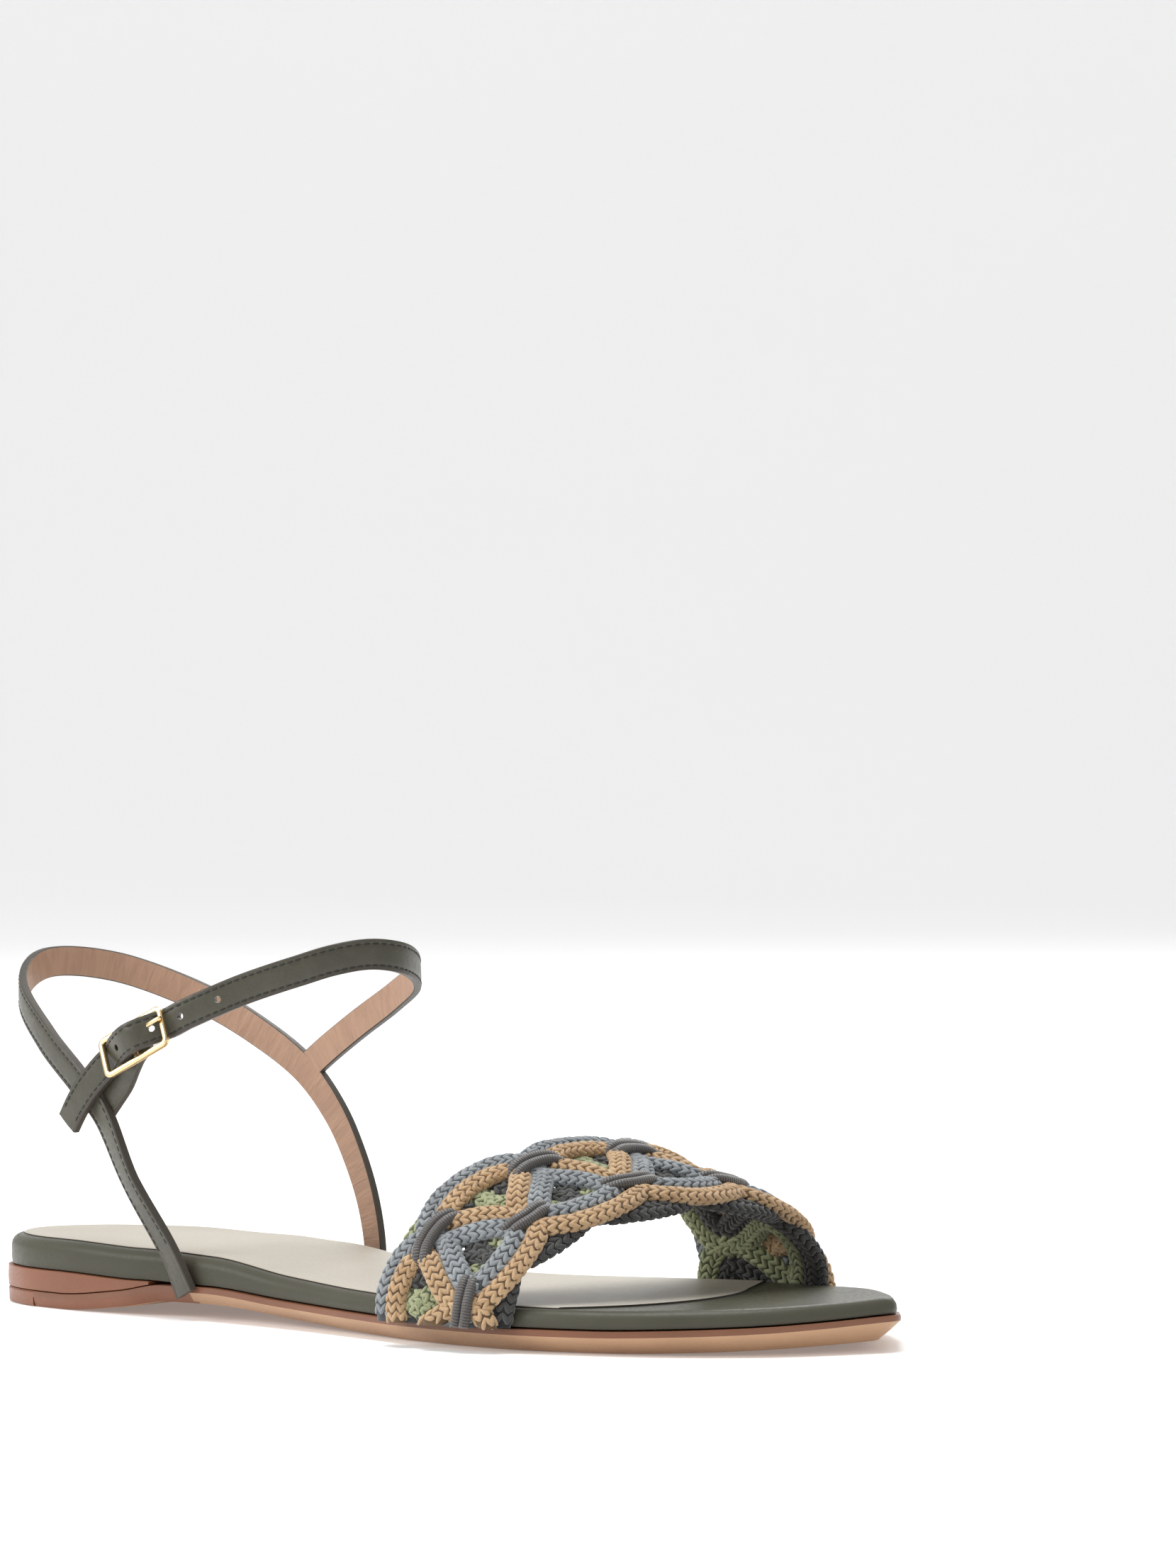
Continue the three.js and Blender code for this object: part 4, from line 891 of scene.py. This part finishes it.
# %% [markdown]
# ## The braid's lines
# Four knitted cords run in two pairs. Each pair swings from bight to bight and curls back on itself
# between them, and the second pair lies half a repeat further on, on top of the first. A pair of satin
# cords crosses over both near every bight. The strap's surface is a bent band, so each line is drawn
# flat on the band first: u along it, v across it towards the toe.

# %% The band
CORD_WIDTH, CORD_THICKNESS = 4.9, 3.5
CORD_OFFSET = 2.25              # from a pair's middle to each of its two cords
BRAID_HALF, BIGHT_CURL, BRAID_REPEATS, FIRST_NODE = 14.6, 0.29, 4.47, 3.45
SATIN_CORD = 2.5

# x, y and z as shares of the sole, lean and dip in degrees, bow in mm, width
VAMP_TABLE = np.array([
    (0.6635, -0.498, 0.0228, 0, 0, 1.6, 0.88), (0.6635, -0.488, 0.0443, 0, 3, 1.5, 0.89),
    (0.6688, -0.41, 0.0823, 4, 11, 1, 0.91), (0.6814, -0.3, 0.1108, 10, 17, 0.6, 0.94),
    (0.6994, -0.183, 0.1266, 15, 18, 0.5, 0.98), (0.7162, -0.06, 0.134, 17, 17, 0.5, 1),
    (0.7278, 0.072, 0.135, 15, 16, 0.5, 1), (0.7373, 0.205, 0.1287, 10, 15, 0.5, 0.98),
    (0.7437, 0.325, 0.1118, 4, 12, 0.8, 0.94), (0.7458, 0.424, 0.0802, -2, 7, 1.2, 0.9),
    (0.7468, 0.472, 0.0464, -5, 2, 1.4, 0.86), (0.7468, 0.486, 0.0228, -5, 0, 1.5, 0.85),
])
vamp_line, vamp_places = smooth_curve(VAMP_TABLE[:, :3] * (SOLE_LENGTH, BALL_WIDTH, SOLE_LENGTH)
                                      + (HEEL_END, 0, 0))
vamp_s = lengths(vamp_line)
VAMP_LENGTH = vamp_s[-1]
REPEAT = (VAMP_LENGTH - FIRST_NODE) / BRAID_REPEATS
vamp_tangent = unit(np.gradient(vamp_line, axis=0))
vamp_rows = np.arange(len(VAMP_TABLE))
vamp_column = {key: column(vamp_rows, VAMP_TABLE[:, k])
               for k, key in enumerate(("x", "y", "z", "lean", "dip", "bow", "width"))}


def band(u, v, height):
    """Points in mm on the bent band, and the outward direction there."""
    u, v, height = np.broadcast_arrays(*(np.asarray(a, float) for a in (u, v, height)))
    inside = np.clip(u, 0, VAMP_LENGTH)
    point = np.stack([np.interp(inside, vamp_s, vamp_line[:, k]) for k in range(3)], axis=-1)
    along = unit(np.stack([np.interp(inside, vamp_s, vamp_tangent[:, k]) for k in range(3)], axis=-1))
    place = np.interp(inside, vamp_s, vamp_places)
    lean, dip = np.radians(vamp_column["lean"](place)), np.radians(vamp_column["dip"](place))
    front = np.stack([np.cos(lean) * np.cos(dip), -np.sin(lean) * np.cos(dip), -np.sin(dip)], axis=-1)
    front = unit(front - along * (front * along).sum(-1, keepdims=True))
    out = np.cross(front, along)
    bend = vamp_column["bow"](place) * (v / BRAID_HALF) ** 2
    point = point + along * (u - inside)[..., None] + front * (v * vamp_column["width"](place))[..., None]
    return point + out * (height - bend)[..., None], out


print("braid length in mm:", round(float(VAMP_LENGTH), 1), "repeat:", round(float(REPEAT), 1))

# %% Lines of the pairs
SAMPLES = 140                   # in one repeat
OVERRUN = 1.6                   # repeats drawn past each end of the strap, and cut off later


def pair_lines(shift):
    t = np.arange(-OVERRUN, BRAID_REPEATS + OVERRUN, 1 / SAMPLES)
    u = FIRST_NODE + REPEAT * (shift + t + BIGHT_CURL * np.sin(4 * np.pi * t))
    v = BRAID_HALF * np.cos(2 * np.pi * t)
    du, dv = np.gradient(u), np.gradient(v)
    speed = np.hypot(du, dv)
    return [np.column_stack([u - k * CORD_OFFSET * dv / speed, v + k * CORD_OFFSET * du / speed])
            for k in (1, -1)]


SATIN_PLACE, SATIN_REACH, SATIN_CURVE = 9.4, 6.4, 1.8


def satin_arcs():
    """Short arcs over the nodes, as (u, v, rise) where rise is 1 on top of the braid and 0 inside it."""
    arcs = []
    for k in range(int(2 * BRAID_REPEATS) + 2):
        node, edge = FIRST_NODE + REPEAT * k / 2, 1 if k % 2 == 0 else -1
        s = np.linspace(-1, 1, 61)
        for lane in (-0.5, 0.5):
            u = node + s * SATIN_REACH
            v = edge * (SATIN_PLACE - SATIN_CURVE * s * s) + lane * SATIN_CORD
            arcs.append(np.column_stack([u, v, np.sqrt(np.clip(1 - s ** 4, 0, 1))]))
    return arcs


def pile_up(line, below, own, gap):
    """Heights of a line that lies on others: it climbs over them and sinks between them."""
    height = np.full(len(line), own)
    for other, top in below:
        far = np.sqrt(((line[:, None] - other[None, ::3]) ** 2).sum(-1))
        over = np.clip(1.25 - far / gap, 0, 1)
        height = np.maximum(height, (own + top[None, ::3] * over).max(1))
    return height


def smooth(values, width):
    reach = np.arange(-3 * width, 3 * width + 1)
    weights = np.exp(-0.5 * (reach / width) ** 2)
    padded = np.pad(values, len(reach) // 2, mode="edge")
    return np.convolve(padded, weights / weights.sum(), mode="valid")


lower = pair_lines(0.0)
upper = pair_lines(0.5)
lower_height = np.full(len(lower[0]), CORD_THICKNESS / 2)
under = [(line, lower_height * 2 - 1.1) for line in lower]
upper_heights = [smooth(pile_up(line, under, CORD_THICKNESS / 2, CORD_WIDTH), 5) for line in upper]
both = under + [(line, h + CORD_THICKNESS / 2 - 0.8) for line, h in zip(upper, upper_heights)]
print("cord heights in mm:", [round(float(h.max()), 2) for h in upper_heights])

# %% [markdown]
# ## A knitted cord
# A knitted cord is a soft tube of small loops. Each loop shows as a V, and the Vs line up in columns
# along the cord. A smooth tube stands for the cord's body, coloured much darker than the yarn as painted
# shade in the gaps between the loops, and two grains lean together for every V.
# Only the columns that can be seen are covered, which keeps the mesh light.

# %% Cord body
CUT_LEVEL = 5.3                 # the feet of the braid end here, down between footbed and outsole


def cord_frames(line, heights, spacing):
    """Evenly spaced centres of a cord with its along, across and outward directions."""
    point, out = band(line[:, 0], line[:, 1], heights)
    s = lengths(point)
    at = np.linspace(0, s[-1], int(s[-1] / spacing) + 1)
    centre = np.column_stack([np.interp(at, s, point[:, k]) for k in range(3)])
    out = np.column_stack([np.interp(at, s, out[:, k]) for k in range(3)])
    along = unit(np.gradient(centre, axis=0))
    across = unit(np.cross(out, along))
    return centre, along, across, unit(np.cross(along, across))


def trimmed(centre, *others):
    """The runs of a cord that lie above the level where the strap goes under the footbed."""
    keep = centre[:, 2] > CUT_LEVEL - 4
    edges = np.flatnonzero(np.diff(np.concatenate([[0], keep.astype(int), [0]])))
    return [[a[lo:hi] for a in (centre, *others)] for lo, hi in zip(edges[::2], edges[1::2]) if hi - lo > 6]


def cut_feet(piece):
    select_only(piece)
    bpy.ops.object.mode_set(mode="EDIT")
    bpy.ops.mesh.select_all(action="SELECT")
    bpy.ops.mesh.bisect(plane_co=(0, 0, CUT_LEVEL * MM), plane_no=(0, 0, 1),
                        clear_inner=True, use_fill=True)
    bpy.ops.object.mode_set(mode="OBJECT")


def join(name, pieces):
    select_only(pieces[0])
    for piece in pieces:
        piece.select_set(True)
    if len(pieces) > 1:
        bpy.ops.object.join()
    pieces[0].name = pieces[0].data.name = name
    return pieces[0]


def cord_body(name, runs, width, thickness, sides=12):
    angles = np.linspace(0, 2 * np.pi, sides, endpoint=False)
    pieces = []
    for centre, along, across, out in runs:
        rows = [c + np.outer(np.cos(angles) * width / 2, a) + np.outer(np.sin(angles) * thickness / 2, o)
                for c, a, o in zip(centre, across, out)]
        pieces.append(grid_piece(name, rows))
    return join(name, pieces)


# %% Knitted loops
KNIT_PITCH = 1.95
WALES = (-30, 30, 90, 150, 210, 270)    # columns of loops, in degrees from the cord's side over its top
LEG_SPREAD = 13.5                       # each loop's two legs stand this far to either side
LEG_LEAN = 0.62
LOOP_MARGIN = 0.9                       # no loop starts nearer than this to the cut end
loop_seed = grain_mesh("loop_seed", 6, 6, 2.75, 1.12, 0.95, taper=0.5)


def knit(name, runs, width, thickness):
    chance = np.random.default_rng(7)
    places, xs, ys, zs = [], [], [], []
    for centre, along, across, out in runs:
        s = lengths(centre)
        rows = np.arange(0.5, s[-1] - 0.5, KNIT_PITCH)
        c, a, w, o = (np.column_stack([np.interp(rows, s, f[:, k]) for k in range(3)])
                      for f in (centre, along, across, out))
        for angle in WALES:
            for lean in (-1, 1):
                turned_by = math.radians(angle + lean * LEG_SPREAD)
                sideways, upwards = w * math.cos(turned_by), o * math.sin(turned_by)
                radial = unit(sideways / (width / 2) + upwards / (thickness / 2))
                spot = c + sideways * width / 2 + upwards * thickness / 2
                round_cord = unit(np.cross(a, radial))
                ahead = unit(a + round_cord * lean * (LEG_LEAN + chance.normal(0, 0.07, (len(a), 1))))
                places.append(spot - radial * (0.1 + chance.normal(0, 0.05, (len(a), 1))))
                xs.append(ahead)
                ys.append(unit(np.cross(radial, ahead)))
                zs.append(unit(radial - 0.22 * a))
    places, xs, ys, zs = (np.concatenate(f) for f in (places, xs, ys, zs))
    keep = places[:, 2] > CUT_LEVEL + LOOP_MARGIN
    return copies(name, loop_seed, places[keep], xs[keep], ys[keep], zs[keep])


# %% Yarn
# Yarn is matt and slightly fuzzy. A fine noise darkens it in places and roughens its normal.
def yarn(name, light, dark, roughness=0.85, fibre=5200.0, depth=0.35, sheen=0.35):
    material, tree, shader, where = new_material(name, roughness=roughness, specular_ior_level=0.25,
                                                 sheen_weight=sheen)
    fuzz = noise(tree, where.outputs["Object"], fibre, 3.0)
    broad = noise(tree, where.outputs["Object"], 210.0)
    both = add(tree, "ShaderNodeMath", {0: fuzz.outputs["Fac"], 1: broad.outputs["Fac"]}, operation="ADD")
    spread = add(tree, "ShaderNodeMapRange", {"Value": both.outputs[0], "From Min": 0.75, "From Max": 1.3})
    tree.links.new(blend(tree, spread.outputs["Result"], light, dark), shader.inputs["Base Color"])
    bump = add(tree, "ShaderNodeBump", {"Strength": depth, "Distance": 0.0002,
               "Height": fuzz.outputs["Fac"]})
    tree.links.new(bump.outputs["Normal"], shader.inputs["Normal"])
    return material


YARNS = {
    "tan": yarn("tan_yarn", (194, 164, 126), (164, 132, 97)),
    "blue": yarn("blue_grey_yarn", (148, 153, 156), (117, 121, 125)),
    "charcoal": yarn("charcoal_yarn", (74, 74, 72), (53, 53, 52)),
    "green": yarn("pale_green_yarn", (164, 168, 130), (130, 137, 102)),
}

# Painted shade: each cord's body is a much darker copy of its yarn, so that the gaps between the loops look
# shaded.
PAINTED_CORE_SHADES = {
    "tan": yarn("tan_cord_painted_shade", (112, 88, 62), (84, 64, 44)),
    "blue": yarn("blue_grey_cord_painted_shade", (78, 81, 84), (58, 61, 64)),
    "charcoal": yarn("charcoal_cord_painted_shade", (40, 40, 41), (28, 28, 29)),
    "green": yarn("pale_green_cord_painted_shade", (84, 90, 62), (62, 68, 44)),
}

# %% Knitted pairs
LOWER_EXTRA = 0.7               # the lower pair is pressed a little flatter and wider
cords = (("tan", upper[0], upper_heights[0], 0), ("blue", upper[1], upper_heights[1], 0),
         ("charcoal", lower[0], lower_height, LOWER_EXTRA), ("green", lower[1], lower_height, LOWER_EXTRA))
for shade, line, heights, wider in cords:
    centre, along, across, out = cord_frames(line, heights, 0.9)
    runs = trimmed(centre, along, across, out)
    core = cord_body(shade + "_cord", runs, CORD_WIDTH + wider - 0.7, CORD_THICKNESS - 0.8)
    cut_feet(core)
    core.data.materials.append(PAINTED_CORE_SHADES[shade])
    finish_piece(core, "braided_vamp", "braided_vamp")
    loops = knit(shade + "_loops", runs, CORD_WIDTH + wider - 0.5, CORD_THICKNESS - 0.6)
    loops.data.materials.append(YARNS[shade])
    finish_piece(loops, "braided_vamp")
    print(shade, "cord:", round(sum(lengths(run[0])[-1] for run in runs)), "mm long")

# %% [markdown]
# ## The satin pair
# Two thin cords of dark satin lie side by side and cross over the knitted pairs near each bight. They
# are wound with a fine thread, which shows as ribs across them and catches the light in a soft sheen.
# The ribs' colour carries painted light: painted shade in the grooves and a painted highlight on the
# crests.

# %% Satin cords
SATIN_LOW = 1.2                 # the arcs come out from among the cords at this height
satin = satin_arcs()
satin_heights = []
for arc in satin:
    top = smooth(pile_up(arc[:, :2], both, SATIN_CORD / 2 - 0.35, CORD_WIDTH * 0.7), 4).max()
    satin_heights.append(SATIN_LOW + (top - SATIN_LOW) * arc[:, 2])
print("satin arcs:", len(satin), "heights in mm:", round(min(h.max() for h in satin_heights), 2),
      round(max(h.max() for h in satin_heights), 2))
satin_yarn, tree, shader, where = new_material("satin_yarn", specular_ior_level=0.6, sheen_weight=0.4)
ribs = add(tree, "ShaderNodeAttribute", attribute_name="rib", attribute_type="GEOMETRY")
wave = add(tree, "ShaderNodeMath", {0: ribs.outputs["Fac"], 1: 2 * math.pi}, operation="MULTIPLY")
wave = add(tree, "ShaderNodeMath", {0: wave.outputs[0]}, operation="SINE")
mask = add(tree, "ShaderNodeMapRange", {"Value": wave.outputs[0], "From Min": -1.0, "From Max": 0.6})
# Painted shade and highlight: the grooves between the ribs are painted darker and the crests lighter.
tree.links.new(blend(tree, mask.outputs["Result"], (40, 37, 35), (76, 71, 67)), shader.inputs["Base Color"])
gloss = add(tree, "ShaderNodeMapRange", {"Value": mask.outputs["Result"], "To Min": 0.6, "To Max": 0.38})
tree.links.new(gloss.outputs["Result"], shader.inputs["Roughness"])
bump = add(tree, "ShaderNodeBump", {"Strength": 0.6, "Distance": 0.0002, "Height": mask.outputs["Result"]})
tree.links.new(bump.outputs["Normal"], shader.inputs["Normal"])

RIB_PITCH = 0.55
pieces = []
for line, heights in zip(satin, satin_heights):
    centre, along, across, out = cord_frames(line, heights, 0.6)
    s = lengths(centre)
    for run in trimmed(centre, along, across, out, s[:, None]):
        body = cord_body("satin_cord", [run[:4]], SATIN_CORD - 0.15, SATIN_CORD - 0.35, sides=14)
        ribs_here = body.data.attributes.new("rib", "FLOAT", "POINT")
        spots = np.array([v.co for v in body.data.vertices]) / MM
        nearest = [float(run[4][int(((run[0] - p) ** 2).sum(1).argmin()), 0]) for p in spots]
        ribs_here.data.foreach_set("value", np.array(nearest) / RIB_PITCH)
        cut_feet(body)
        pieces.append(body)
satin_pair = join("satin_cords", pieces)
satin_pair.data.materials.append(satin_yarn)
finish_piece(satin_pair, "braided_vamp")

# %% [markdown]
# ## Floor and light
# A plain pale floor rises behind the sandal in one sweep. A large soft lamp hangs above, a weaker one
# fills from the camera's side, and the pale world lights the rest, as in a studio for catalogues.

# %% Stage
FLOOR_REACH = 3.0
deselect()
bpy.ops.mesh.primitive_grid_add(x_subdivisions=40, y_subdivisions=2, size=2)
floor = bpy.context.active_object
floor.name = "studio_floor"
far = Vector((CAMERA_FORWARD.x, CAMERA_FORWARD.y, 0)).normalized()
sideways = Vector((-far.y, far.x, 0))
for vertex in floor.data.vertices:
    run = (vertex.co.x + 1) / 2 * 6.6 - 2.4
    bend_start, radius = 1.9, 1.0
    rise = 0.0
    if run > bend_start:
        swing = min((run - bend_start) / radius, math.pi / 2)
        rise = radius * (1 - math.cos(swing)) + max(0.0, run - bend_start - radius * math.pi / 2)
        run = bend_start + radius * math.sin(swing)
    vertex.co = far * run + sideways * vertex.co.y * FLOOR_REACH + Vector((0, 0, rise))
bpy.ops.object.shade_smooth()
pale, tree, shader, where = new_material("studio_paper", roughness=0.9, specular_ior_level=0.1,
                                         emission_color=(1, 1, 1, 1), emission_strength=0.17)
mottle = noise(tree, where.outputs["Object"], 3.0)
paper = blend(tree, mottle.outputs["Fac"], (250, 250, 250), (248, 248, 248))
tree.links.new(paper, shader.inputs["Base Color"])
floor.data.materials.append(pale)


# %% Lights
def lamp(name, place, aim, size, power):
    data = bpy.data.lights.new(name, "AREA")
    data.shape, data.size, data.energy = "DISK", size, power
    made = bpy.data.objects.new(name, data)
    made.location = place
    made.rotation_euler = (Vector(aim) - Vector(place)).to_track_quat("-Z", "Y").to_euler()
    bpy.context.scene.collection.objects.link(made)


target = (0.1, 0, 0.03)
lamp("top_light", (0.0, -0.1, 1.5), target, 1.0, 18)
lamp("front_light", (-0.9, -1.2, 0.8), target, 0.9, 14)
lamp("back_light", (-0.4, 1.2, 1.0), target, 0.9, 6)
world = bpy.data.worlds.new("studio")
bpy.context.scene.world = world
world.use_nodes = True
world.node_tree.nodes["Background"].inputs["Color"].default_value = (1, 1, 1, 1)
world.node_tree.nodes["Background"].inputs["Strength"].default_value = 0.5
bpy.context.scene.view_settings.view_transform = "Standard"
